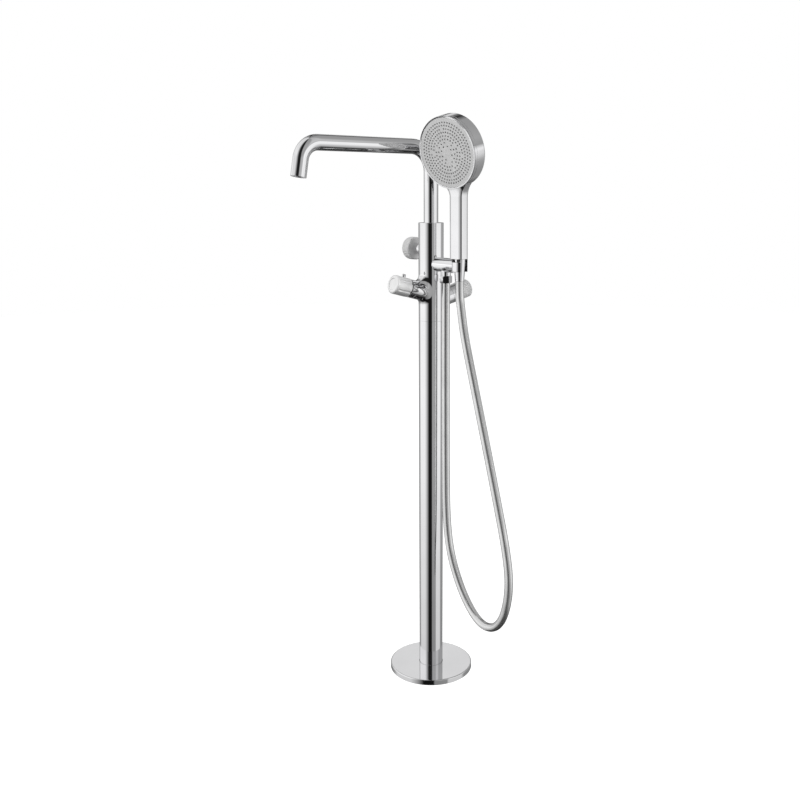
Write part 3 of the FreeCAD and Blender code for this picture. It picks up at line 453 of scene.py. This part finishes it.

# Diverter: a thin plated neck screwed into the back of the body and a wide knob with flutes.
# The knob sends the water to the spout or to the hand shower.
diverter_z = 759
neck_r, neck_bore_r, neck_start, neck_end, neck_edge = 9.25, 3.6, 16, 40.6, 0.4
knob_r, knob_start, knob_end, knob_rounding = 19, neck_end + handle_gap, 58.9, 2.0
knob_floor = knob_end - cap_recess
rear_axis = local_frame((0, 0, diverter_z), (0, 1, 0), (0, 0, 1))
neck = turned(
    [(neck_bore_r, neck_start), (neck_r, neck_start), (neck_r, neck_end, neck_edge),
     (neck_bore_r, neck_end)], rear_axis)
piece("diverter_stem", neck, chrome, "stand", "diverter_neck")
# The knob takes the darker satin copy, painted shade for its flutes.
knob = turned(
    [(neck_bore_r, knob_start), (knob_r, knob_start, knob_rounding), (knob_r, knob_end, knob_rounding),
     (cap_r + cap_gap, knob_end, recess_edge), (cap_r + cap_gap, knob_floor), (neck_bore_r, knob_floor)],
    rear_axis, steps=432, shape=flutes(36, knob_r, depth=0.7))
piece("diverter_grip", knob, satin_with_painted_shade, "diverter", "diverter_knob", sharp=40)
knob_cap = end_cap(rear_axis, knob_end, cap_edge)
piece("diverter_end_cap", knob_cap, satin, "diverter", "diverter_cap")

# Shower bracket: a round bar screwed to the body, with an open cradle brazed on its end.
# A split black liner in the cradle keeps the hose's cone nut from scratching the plating.
shower_out = 77.5
bar_r, bar_start, bar_z = 11.8, 15.0, 735
cradle_r, cradle_bore_r, cradle_gap = 13.0, 11.26, 15.6
cradle_low, cradle_high, cradle_heading = 726.5, 742.0, math.radians(-84)
cradle_rounding = [(0.0, 0.8), (0.1, 0.4), (0.4, 0.1), (0.8, 0.0)]


def split_ring(rows_of_radii, gap, centre, heading, steps=96):
    """Ring with a slot at a heading, from (inner radius, outer radius, height) rows, closed all round."""
    mesh = bmesh.new()
    rows = []
    for inner, outer, height in rows_of_radii:
        row = []
        for radius in (outer, inner):
            half = math.asin(gap / 2 / radius)
            arc = []
            for step in range(steps + 1):
                turn = heading + half + (2 * math.pi - 2 * half) * step / steps
                arc.append(Vector((radius * math.cos(turn), radius * math.sin(turn), height)))
            row += arc if radius == outer else list(reversed(arc))
        rows.append([mesh.verts.new((Vector(centre) + spot) * MM) for spot in row])
    join_rows(mesh, rows)
    for row, flip in ((rows[0], True), (rows[-1], False)):
        for step in range(steps):
            face = (row[step], row[step + 1], row[-2 - step], row[-1 - step])
            mesh.faces.new(tuple(reversed(face)) if flip else face)
    return mesh


def bar_to_cradle(mesh, steps=96):
    """Round bar along -Y whose end is hollowed to lie against the cradle."""
    low, high = [], []
    for step in range(steps):
        turn = 2 * math.pi * step / steps
        aside, up = bar_r * math.sin(turn), bar_r * math.cos(turn)
        bar_end = shower_out - math.sqrt(cradle_r ** 2 - aside ** 2)
        for row, distance in ((low, bar_start), (high, bar_end)):
            row.append(mesh.verts.new(Vector((aside, -distance, bar_z + up)) * MM))
    join_rows(mesh, [low, high])
    mesh.faces.new(list(reversed(low)))
    half = steps // 2
    for step in range(-steps // 4, steps // 4):
        across = (high[step], high[step + 1], high[half - step - 1], high[(half - step) % steps])
        mesh.faces.new(tuple(dict.fromkeys(across)))


cradle_rows = [(cradle_bore_r, cradle_r - inward, cradle_low + up) for up, inward in cradle_rounding]
for down, inward in reversed(cradle_rounding):
    cradle_rows.append((cradle_bore_r, cradle_r - inward, cradle_high - down))
bracket = split_ring(cradle_rows, cradle_gap, (0, -shower_out, 0), cradle_heading)
bar_to_cradle(bracket)
piece("bar_and_cradle", bracket, chrome, "stand", "shower_bracket")

# Hose outlet: a stub under the bar and a hex nut that clamps the hose on it.
# The nut is a plain half-inch hose nut with chamfered corners, plated like the rest.
outlet_out = 41
outlet_bore_r, stub_r, stub_thread_r, stub_edge = 4, 8.25, 6.6, 0.3
stub_low, stub_top = 709.2, 728
nut_low, nut_high, nut_floor = 706.0, 717.6, 707.6
nut_flat_r, nut_thread_r, flat_turn = 9.0, 6.65, math.radians(53.5)
chamfer_r, chamfer_slope, chamfer_h = 9.2, 1.4, 1.0
stub_place = local_frame((0, -outlet_out, 0), (0, 0, 1), (1, 0, 0))
stub = turned(
    [(outlet_bore_r, nut_high), (stub_r, nut_high, stub_edge), (stub_r, stub_top),
     (outlet_bore_r, stub_top)], stub_place)
turned(
    [(outlet_bore_r, stub_low), (stub_thread_r, stub_low), (stub_thread_r, stub_top),
     (outlet_bore_r, stub_top)], stub_place, mesh=stub)
piece("outlet_stub", stub, chrome, "stand", "hose_outlet_stub")


def six_flats(turn, radius, height):
    """Hexagon with one flat towards the camera, chamfered at both ends."""
    if radius < (nut_thread_r + nut_flat_r) / 2:
        return radius
    flat = (turn - flat_turn + math.pi / 6) % (math.pi / 3) - math.pi / 6
    from_end = min(height - nut_low, nut_high - height)
    return min(nut_flat_r / math.cos(flat), chamfer_r + chamfer_slope * from_end)


nut = turned(
    [(outlet_bore_r, nut_low)]
    + fine_rows(nut_flat_r, nut_low, gap=0.2, count=6)
    + fine_rows(nut_flat_r, nut_high - chamfer_h, gap=0.2, count=6)
    + [(nut_thread_r, nut_high), (nut_thread_r, nut_floor), (outlet_bore_r, nut_floor)],
    stub_place, steps=240, shape=six_flats)
piece("hose_hex_nut", nut, chrome, "stand", "hose_nut", sharp=18)

# Hose: a smooth silver shower hose that hangs in one loop from the hex nut to the cone nut.
# Its line is a spline through the route that the solid follows, in metres.
hose_route = [
    (0.0410, 0.7060), (0.0410, 0.6300), (0.0416, 0.5200), (0.0427, 0.4050), (0.0446, 0.3030),
    (0.0560, 0.2380), (0.0850, 0.1840), (0.1185, 0.1490), (0.1490, 0.1355), (0.1805, 0.1445),
    (0.2030, 0.1760), (0.2135, 0.2320), (0.2025, 0.2910), (0.1765, 0.3710), (0.1470, 0.4590),
    (0.1163, 0.5490), (0.0915, 0.6220), (0.0835, 0.6590), (0.0775, 0.6885), (0.0775, 0.7110),
]
hose_d = 0.014


def hose_curve(bevel):
    """Curve object on the hose route, with or without its thickness."""
    line = bpy.data.curves.new("hose_line", "CURVE")
    line.dimensions = "3D"
    line.resolution_u = 12
    line.bevel_depth = bevel
    line.bevel_resolution = 10
    line.use_fill_caps = bevel > 0
    spline = line.splines.new("NURBS")
    spline.points.add(len(hose_route) - 1)
    for point, (distance, height) in zip(spline.points, hose_route):
        point.co = (0, -distance, height, 1)
    spline.order_u = 3
    spline.use_endpoint_u = True
    return bpy.data.objects.new("hose_line", line)


def mesh_of(curve):
    """Mesh of a curve object, which is then removed."""
    data = bpy.data.meshes.new_from_object(curve)
    bpy.data.objects.remove(curve)
    return data


hose_path = [list(vertex.co) for vertex in mesh_of(hose_curve(0)).vertices]
silver = finish("silver_hose", grey(0.78), grey(0.70), roughness=0.13, cloud=0.06, scale=40.0, metallic=0.86,
                ripple=0.15)
hose_data = mesh_of(hose_curve(hose_d / 2))
hose_data.materials.clear()
hose_data.materials.append(silver)
hose_data.shade_smooth()
hose = bpy.data.objects.new("shower_hose", hose_data)
bpy.context.scene.collection.objects.link(hose)
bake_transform(hose)
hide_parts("hose")

# Cone nut: the turned and plated end of the hose that stands in the cradle.
# It screws on to the hand shower's inlet.
shower_turn = math.radians(191.0)
shower_place = Matrix.Translation(Vector((0, -shower_out, 0)) * MM) @ Matrix.Rotation(shower_turn, 4, "Z")
cone_low, cone_high, cone_floor = 711, 747.0, 728.4
cone_low_r, cone_high_r, cone_edge = 7.4, 10.2, 0.6
cone_bore_r, cone_thread_r = 4.5, 7.25
cone_nut = turned(
    [(cone_bore_r, cone_low), (cone_low_r, cone_low, cone_edge), (cone_high_r, cone_high, cone_edge),
     (cone_thread_r, cone_high), (cone_thread_r, cone_floor), (cone_bore_r, cone_floor)], shower_place)
piece("hose_cone_nut", cone_nut, chrome, "hand_shower", "cone_nut")

# Spout: a bent and plated brass tube that swivels on its spigot in the top of the body.
# It rises, runs out over the tub and turns down to the aerator.
spout_r, spout_bore_r = 12.0, 10.5
spout_gap, spout_upright_z, spout_top = 0.4, 850, 924
rise_bend_r, spout_half_way = 39, 120
tip_bend_r, tip_bend_out, tip_lean, tip_length = 30, 211.5, math.radians(10), 26.5
spout_foot, spout_lip, spout_lip_bulge = 0.3, 0.2, 0.06


def spout_path(bits=28):
    """Points (distance out, height, heading) along the spout's axis."""
    upright = math.pi / 2
    path = [(0, body_top + spout_gap, upright), (0, spout_upright_z, upright)]
    for bit in range(bits + 1):
        turn = upright * bit / bits
        out, down = rise_bend_r * (1 - math.cos(turn)), rise_bend_r * (1 - math.sin(turn))
        path.append((out, spout_top - down, upright - turn))
    path.append((spout_half_way, spout_top, 0))
    for bit in range(bits + 1):
        turn = (upright - tip_lean) * bit / bits
        out, down = tip_bend_out + tip_bend_r * math.sin(turn), tip_bend_r * (1 - math.cos(turn))
        path.append((out, spout_top - down, -turn))
    out, height, heading = path[-1]
    path.append((out + tip_length * math.sin(tip_lean), height - tip_length * math.cos(tip_lean), heading))
    return path


def bent_tube(path, outer, inner, steps=96):
    """Open tube with a wall, swept along a path in the XZ plane, with softened ends."""
    mesh = bmesh.new()
    rows = []
    first, last = path[0], path[-1]
    walk = [(first, outer - spout_foot, 0.0), (first, outer, spout_foot)]
    walk += [(spot, outer, 0.0) for spot in path[1:-1]]
    walk += [(last, outer, -spout_lip), (last, outer - spout_lip_bulge, -spout_lip_bulge),
             (last, outer - spout_lip, 0.0), (last, inner + spout_lip, 0.0), (last, inner, -spout_lip)]
    walk += [(spot, inner, 0.0) for spot in reversed(path[1:-1])]
    walk += [(first, inner, 0.0)]
    for (out, height, heading), radius, ahead in walk:
        forward = Vector((-math.cos(heading), 0, math.sin(heading)))
        side = Vector((math.sin(heading), 0, math.cos(heading)))
        centre = Vector((-out, 0, height)) + forward * ahead
        row = []
        for step in range(steps):
            turn = 2 * math.pi * step / steps
            spot = centre + side * radius * math.cos(turn) + Vector((0, radius * math.sin(turn), 0))
            row.append(mesh.verts.new(spot * MM))
        rows.append(row)
    join_rows(mesh, rows, closed=True)
    return mesh


spout = bent_tube(spout_path(), spout_r, spout_bore_r)
piece("spout", spout, chrome, "spout", "spout_tube")

# Hand shower: a chrome-plated plastic moulding with a crowned handle that flares into a round head.
# The face ring is clipped on its front and frames the grey spray face.
plated_plastic = finish("plated_plastic", (0.90, 0.90, 0.91), (0.85, 0.85, 0.86), roughness=0.06, cloud=0.05,
                        scale=25.0)
tilt = math.radians(14.2)
handle_w, handle_d, handle_low = 25.8, 18.9, 747.3
handle_rows_count, handle_row_gap = 10, 9.58
handle_forward, forward_gap = 0.9, 0.1
flare_low, flare_r, flare_rise, flare_top = 843.2, 21.0, 20.3, 866.0
flare_rows_count, flare_row_turn = 23, math.radians(2.9)
flare_deeper, flare_forward, flare_tuck = 0.15, 0.275, 3.0
lean_from = 20.0


def arc_points(centre, radius, start, end, bits):
    """Points on an arc between two angles in degrees."""
    turns = [math.radians(start + (end - start) * bit / bits) for bit in range(bits + 1)]
    return [Vector(centre) + Vector((math.cos(turn), math.sin(turn))) * radius for turn in turns]


def handle_outline(width, depth, forward, crown=2.4, edge=30, inset=1.2, back_r=6.5, bits=24):
    """Handle section as (forward, side) points: crowned front, tight corners and round back."""
    front, back, side = forward + depth / 2, forward - depth / 2, width / 2
    half = side - inset
    corner_r = inset / (1 - math.sin(math.radians(edge)))
    power = math.tan(math.radians(edge)) * half / crown
    points = []
    for bit in range(bits + 1):
        share = 2 * bit / bits - 1
        points.append(Vector((front + crown * (1 - abs(share) ** power), half * share)))
    near = (front - corner_r * math.cos(math.radians(edge)), side - corner_r)
    points += arc_points(near, corner_r, edge, 90, bits=6)[1:]
    points += arc_points((back + back_r, side - back_r), back_r, 90, 180, bits=10)
    points += arc_points((back + back_r, back_r - side), back_r, 180, 270, bits=10)
    points += arc_points((near[0], -near[1]), corner_r, 270, 360 - edge, bits=6)[:-1]
    return points


def handle_rows():
    """Rows (height, width, depth, forward, lean) up the handle and its flare, which leans with the head."""
    rows = []
    for row in range(handle_rows_count):
        height, forward = handle_low + handle_row_gap * row, handle_forward + forward_gap * row
        rows.append((height, handle_w, handle_d, forward, 0.0))
    top_forward = handle_forward + forward_gap * handle_rows_count
    for row in range(flare_rows_count):
        turn = flare_row_turn * row
        growth = flare_r * (1 - math.cos(turn))
        width, depth = handle_w + 2 * growth, handle_d + flare_deeper * growth
        forward = top_forward + flare_forward * growth
        lean = math.tan(tilt) * row / (flare_rows_count - 1)
        rows.append((flare_low + flare_rise * math.sin(turn), width, depth, forward, lean))
    rows.append((flare_top, width - flare_tuck, depth - flare_tuck, forward, lean))
    return rows


shower = bmesh.new()
rings = []
for height, width, depth, forward, lean in handle_rows():
    ring = []
    for spot in handle_outline(width, depth, forward):
        lifted = Vector((spot.x, spot.y, height + lean * (lean_from - spot.x)))
        ring.append(shower.verts.new(shower_place @ (lifted * MM)))
    rings.append(ring)
join_rows(shower, rings)
shower.faces.new(rings[-1])
shower.faces.new(list(reversed(rings[0])))

# Depths in the head run back from the front of the face ring, along the head's own axis
head_centre = (32.94, 0, 910.19)
head_place = shower_place @ local_frame(head_centre, (math.cos(tilt), 0, -math.sin(tilt)), (0, 0, 1))
head_r, head_back, head_back_r, head_back_rounding = 56, -34, 41.5, 8
head_shoulder, head_shoulder_rounding = -26, 5
head_front, head_front_edge = -7.1, 0.4
hollow_r, hollow_shoulder, hollow_back_r, hollow_back = 51.2, -25.5, 40, -32
turned(
    [(0, head_back), (head_back_r, head_back, head_back_rounding),
     (head_r, head_shoulder, head_shoulder_rounding), (head_r, head_front, head_front_edge),
     (hollow_r, head_front), (hollow_r, hollow_shoulder), (hollow_back_r, hollow_back), (0, hollow_back)],
    head_place, steps=180, bits=12, mesh=shower)
piece("shower_moulding", shower, plated_plastic, "hand_shower", "shower_shell", sharp=30)

bezel_back, bezel_bore_r, bezel_lip_r = -7, 48.8, 55.9
bezel_groove_r, bezel_groove_low, bezel_groove_high = 55.2, -2.0, -1.2
bezel_groove_edge, bezel_front_edge, bezel_edge = 0.2, 0.5, 0.3
face_seat_r, face_seat = 53.6, -3.0
bezel = turned(
    [(bezel_bore_r, bezel_back), (head_r, bezel_back, bezel_edge),
     (head_r, bezel_groove_low, bezel_groove_edge), (bezel_groove_r, bezel_groove_low),
     (bezel_groove_r, bezel_groove_high), (bezel_lip_r, bezel_groove_high, bezel_groove_edge),
     (bezel_lip_r, 0, bezel_front_edge), (face_seat_r, 0, bezel_edge), (face_seat_r, face_seat),
     (bezel_bore_r, face_seat)], head_place, steps=180)
piece("shower_bezel", bezel, plated_plastic, "hand_shower", "face_ring")

# Spray face: a satin light-grey plate with soft silicone nozzles standing through it in rings.
# The rings are full near the rim and thinner towards the plain centre.
face_grey = finish("face_grey", grey(0.58), grey(0.53), roughness=0.34, cloud=0.10, scale=70.0, metallic=0.0,
                   ripple=0.3)
soft_grey = finish("nozzle_silicone", grey(0.15), grey(0.18), roughness=0.5, cloud=0.1, scale=80.0,
                   metallic=0.0)
face_gap, face_front, face_edge = 0.05, -0.6, 0.2
face_r = face_seat_r - face_gap
face = turned([(0, face_seat), (face_r, face_seat), (face_r, face_front, face_edge), (0, face_front)],
              head_place, steps=160)
piece("spray_plate", face, face_grey, "hand_shower", "spray_face")

# Each ring has its radius, its count of places and the places left empty
nozzle_rings = [
    (46.3, 58, ()), (41.7, 54, ()), (36.6, 50, (0, 25)), (31.4, 43, (9, 30)),
    (26.2, 30, (6, 15, 22)), (21.2, 25, (3, 13, 19)), (16.0, 14, (5, 11)), (10.6, 8, (2,)),
]
ring_twist = 0.37
nozzle_low, nozzle_top, nozzle_r, nozzle_tip_r, nozzle_edge = -0.7, 0.4, 1.15, 0.9, 0.3
nozzle_outline = [(0, nozzle_low), (nozzle_r, nozzle_low), (nozzle_tip_r, nozzle_top, nozzle_edge),
                  (0, nozzle_top)]
nozzles = bmesh.new()
for index, (radius, count, missing) in enumerate(nozzle_rings):
    for spot in range(count):
        if spot in missing:
            continue
        turn = 2 * math.pi * (spot + ring_twist * index) / count
        aside = Vector((radius * math.cos(turn), radius * math.sin(turn), 0))
        tip = head_place @ Matrix.Translation(aside * MM)
        turned(nozzle_outline, tip, steps=12, bits=2, mesh=nozzles)
piece("spray_nubs", nozzles, soft_grey, "hand_shower", "spray_nozzles", weighted=False)

# Pieces that stay as the solids have them: the hidden valves, tubes, seals and screws, and the liner.
# Each takes the finish of its own material.
slot_finishes = {
    "chrome": chrome,
    "satin": satin,
    "plated_plastic": plated_plastic,
    "face_grey": face_grey,
    "nozzle_grey": soft_grey,
    "black_plastic": black,
    "inner_plastic": finish("inner_plastic", grey(0.72), grey(0.64), roughness=0.4, cloud=0.1, scale=60.0,
                            metallic=0.0),
    "brass": finish("machined_brass", (0.70, 0.52, 0.24), (0.60, 0.43, 0.19), roughness=0.22, cloud=0.12,
                    scale=50.0),
    "steel": steel,
    "rubber": finish("seal_rubber", grey(0.02), grey(0.035), roughness=0.6, cloud=0.2, scale=70.0,
                     metallic=0.0),
    "hose_silver": silver,
}
for subpart in frame["record"]["subparts"]:
    solid = cad[subpart["node"]]
    solid.data.materials.clear()
    solid.data.materials.append(slot_finishes[subpart["material_slot"]])
    solid.data.shade_smooth()
    solid.data.set_sharp_from_angle(angle=math.radians(30))

# Studio: a white floor and surround, a bright panel on each side and a dark gap towards the camera.
# The gap gives the plating its black stripe; two soft lamps light the matt pieces.
view_turn = math.radians(-36.5)
floor_r, floor_drop = 6.0, 0.0002


def studio_floor():
    """White floor that takes soft shadows and lets the plating see the surround."""
    mesh = bmesh.new()
    bmesh.ops.create_circle(mesh, cap_ends=True, radius=floor_r, segments=96)
    data = bpy.data.meshes.new("floor")
    mesh.to_mesh(data)
    mesh.free()
    floor = bpy.data.objects.new("floor", data)
    floor.location.z = -floor_drop
    bpy.context.scene.collection.objects.link(floor)
    material = bpy.data.materials.new("white_floor")
    material.use_nodes = True
    nodes, link = material.node_tree.nodes, material.node_tree.links.new
    nodes.clear()
    out, rays = nodes.new("ShaderNodeOutputMaterial"), nodes.new("ShaderNodeLightPath")
    matt, glow = nodes.new("ShaderNodeBsdfDiffuse"), nodes.new("ShaderNodeEmission")
    clear = nodes.new("ShaderNodeBsdfTransparent")
    seen, plain = nodes.new("ShaderNodeAddShader"), nodes.new("ShaderNodeMixShader")
    matt.inputs["Color"].default_value = (0.25, 0.25, 0.25, 1)
    glow.inputs["Color"].default_value = (1, 1, 1, 1)
    link(rays.outputs["Is Camera Ray"], glow.inputs["Strength"])
    link(matt.outputs["BSDF"], seen.inputs[0])
    link(glow.outputs["Emission"], seen.inputs[1])
    link(rays.outputs["Is Glossy Ray"], plain.inputs["Fac"])
    link(seen.outputs["Shader"], plain.inputs[1])
    link(clear.outputs["BSDF"], plain.inputs[2])
    link(plain.outputs["Shader"], out.inputs["Surface"])
    data.materials.append(material)


def ramp(nodes, stops):
    """Colour ramp node with grey stops at the given places."""
    node = nodes.new("ShaderNodeValToRGB")
    elements = node.color_ramp.elements
    elements[0].position, elements[1].position = stops[0][0], stops[-1][0]
    for place, _ in stops[1:-1]:
        elements.new(place)
    for element, (_, level) in zip(elements, stops):
        element.color = (level, level, level, 1)
    return node


def studio_surround():
    """World light: side panels, a dark gap towards the camera, a grey ceiling and a narrow panel behind."""
    world = bpy.data.worlds.new("studio")
    bpy.context.scene.world = world
    world.use_nodes = True
    nodes, link = world.node_tree.nodes, world.node_tree.links.new
    nodes.clear()
    out, rays = nodes.new("ShaderNodeOutputWorld"), nodes.new("ShaderNodeLightPath")
    place, turn = nodes.new("ShaderNodeTexCoord"), nodes.new("ShaderNodeVectorRotate")
    parts = nodes.new("ShaderNodeSeparateXYZ")
    turn.rotation_type = "Z_AXIS"
    turn.inputs["Angle"].default_value = math.pi / 2 - view_turn
    link(place.outputs["Generated"], turn.inputs["Vector"])
    link(turn.outputs["Vector"], parts.inputs["Vector"])
    angle, share = nodes.new("ShaderNodeMath"), nodes.new("ShaderNodeMapRange")
    angle.operation = "ARCTAN2"
    link(parts.outputs["Y"], angle.inputs[0])
    link(parts.outputs["X"], angle.inputs[1])
    share.inputs["From Min"].default_value = -math.pi
    share.inputs["From Max"].default_value = math.pi
    link(angle.outputs["Value"], share.inputs["Value"])
    height = nodes.new("ShaderNodeMapRange")
    height.inputs["From Min"].default_value = -1.0
    link(parts.outputs["Z"], height.inputs["Value"])

    def round_ramp(stops):
        """Ramp over the angle round the filler, in degrees to the right of the camera."""
        node = ramp(nodes, [((degrees + 180) / 360, level) for degrees, level in stops])
        link(share.outputs["Result"], node.inputs["Fac"])
        return node.outputs["Color"]

    def height_ramp(stops):
        """Ramp over the height of the view, from straight down to straight up."""
        node = ramp(nodes, stops)
        link(height.outputs["Result"], node.inputs["Fac"])
        return node.outputs["Color"]

    def mixed(mode, first, second):
        """Two colours multiplied or added."""
        mix = nodes.new("ShaderNodeMix")
        mix.data_type = "RGBA"
        mix.blend_type = mode
        mix.inputs["Factor"].default_value = 1.0
        link(first, mix.inputs["A"])
        link(second, mix.inputs["B"])
        return mix.outputs["Result"]

    walls = mixed(
        "MULTIPLY",
        round_ramp([(-180, 0.10), (-160, 0.15), (-140, 0.40), (-128, 0.5), (-112, 1.0), (-60, 1.0),
                    (-40, 0.55), (-21, 0.01), (7, 0.01), (11, 0.36), (46, 0.40), (51, 0.95), (96, 0.95),
                    (108, 0.4), (150, 0.36), (165, 0.12), (180, 0.10)]),
        height_ramp([(0.0, 0.0), (0.10, 0.05), (0.145, 0.45), (0.25, 0.65), (0.37, 0.97), (0.47, 1.0),
                     (0.55, 0.85), (0.62, 0.0)]))
    upper = mixed(
        "MULTIPLY",
        round_ramp([(-180, 0.0), (-170, 0.0), (-150, 0.6), (-135, 1.15), (-60, 1.15), (-24, 0.02),
                    (8, 0.02), (16, 0.5), (46, 0.5), (52, 0.75), (70, 0.75), (84, 0.5), (150, 0.5),
                    (170, 0.0), (180, 0.0)]),
        height_ramp([(0.5, 0.0), (0.6, 0.66), (0.74, 0.78), (1.0, 0.62)]))
    rear = mixed(
        "MULTIPLY",
        round_ramp([(-180, 1.0), (-175, 1.0), (-169, 0.0), (169, 0.0), (175, 1.0), (180, 1.0)]),
        height_ramp([(0.5, 0.05), (0.66, 0.10), (0.72, 0.76), (0.76, 0.72), (0.81, 0.16), (1.0, 0.30)]))
    total = mixed("ADD", mixed("ADD", walls, upper), rear)
    shown = nodes.new("ShaderNodeMix")
    shown.data_type = "RGBA"
    link(rays.outputs["Is Camera Ray"], shown.inputs["Factor"])
    link(total, shown.inputs["A"])
    shown.inputs["B"].default_value = (1, 1, 1, 1)
    sky = nodes.new("ShaderNodeBackground")
    link(shown.outputs["Result"], sky.inputs["Color"])
    link(sky.outputs["Background"], out.inputs["Surface"])


def soft_lamp(name, place, power, size=1.4, aim=(0, 0, 0.6)):
    """Square lamp that points at the middle of the filler and isn't mirrored in the plating."""
    light = bpy.data.lights.new(name, "AREA")
    light.energy = power
    light.size = size
    lamp = bpy.data.objects.new(name, light)
    lamp.location = place
    lamp.rotation_euler = (Vector(aim) - Vector(place)).to_track_quat("-Z", "Y").to_euler()
    lamp.visible_glossy = False
    bpy.context.scene.collection.objects.link(lamp)


studio_floor()
studio_surround()
soft_lamp("left_lamp", (-2.2, -0.9, 1.9), power=52.0)
soft_lamp("right_lamp", (0.9, -2.2, 1.7), power=40.0)
bpy.context.scene.view_settings.view_transform = "Standard"

# Camera: a little above the handles, looking down on the filler from the front left.
camera_away, camera_z, camera_pitch = 1542, 839, math.radians(90 - 12.36)
lens = bpy.data.cameras.new("camera")
lens.sensor_width = 36.0
lens.lens = 41.0
lens.shift_x = -0.0388
camera = bpy.data.objects.new("camera", lens)
camera_side, camera_front = camera_away * math.sin(view_turn), camera_away * math.cos(view_turn)
camera.location = Vector((camera_side, -camera_front, camera_z)) * MM
camera.rotation_euler = (camera_pitch, 0, view_turn)
bpy.context.scene.collection.objects.link(camera)
bpy.context.scene.camera = camera
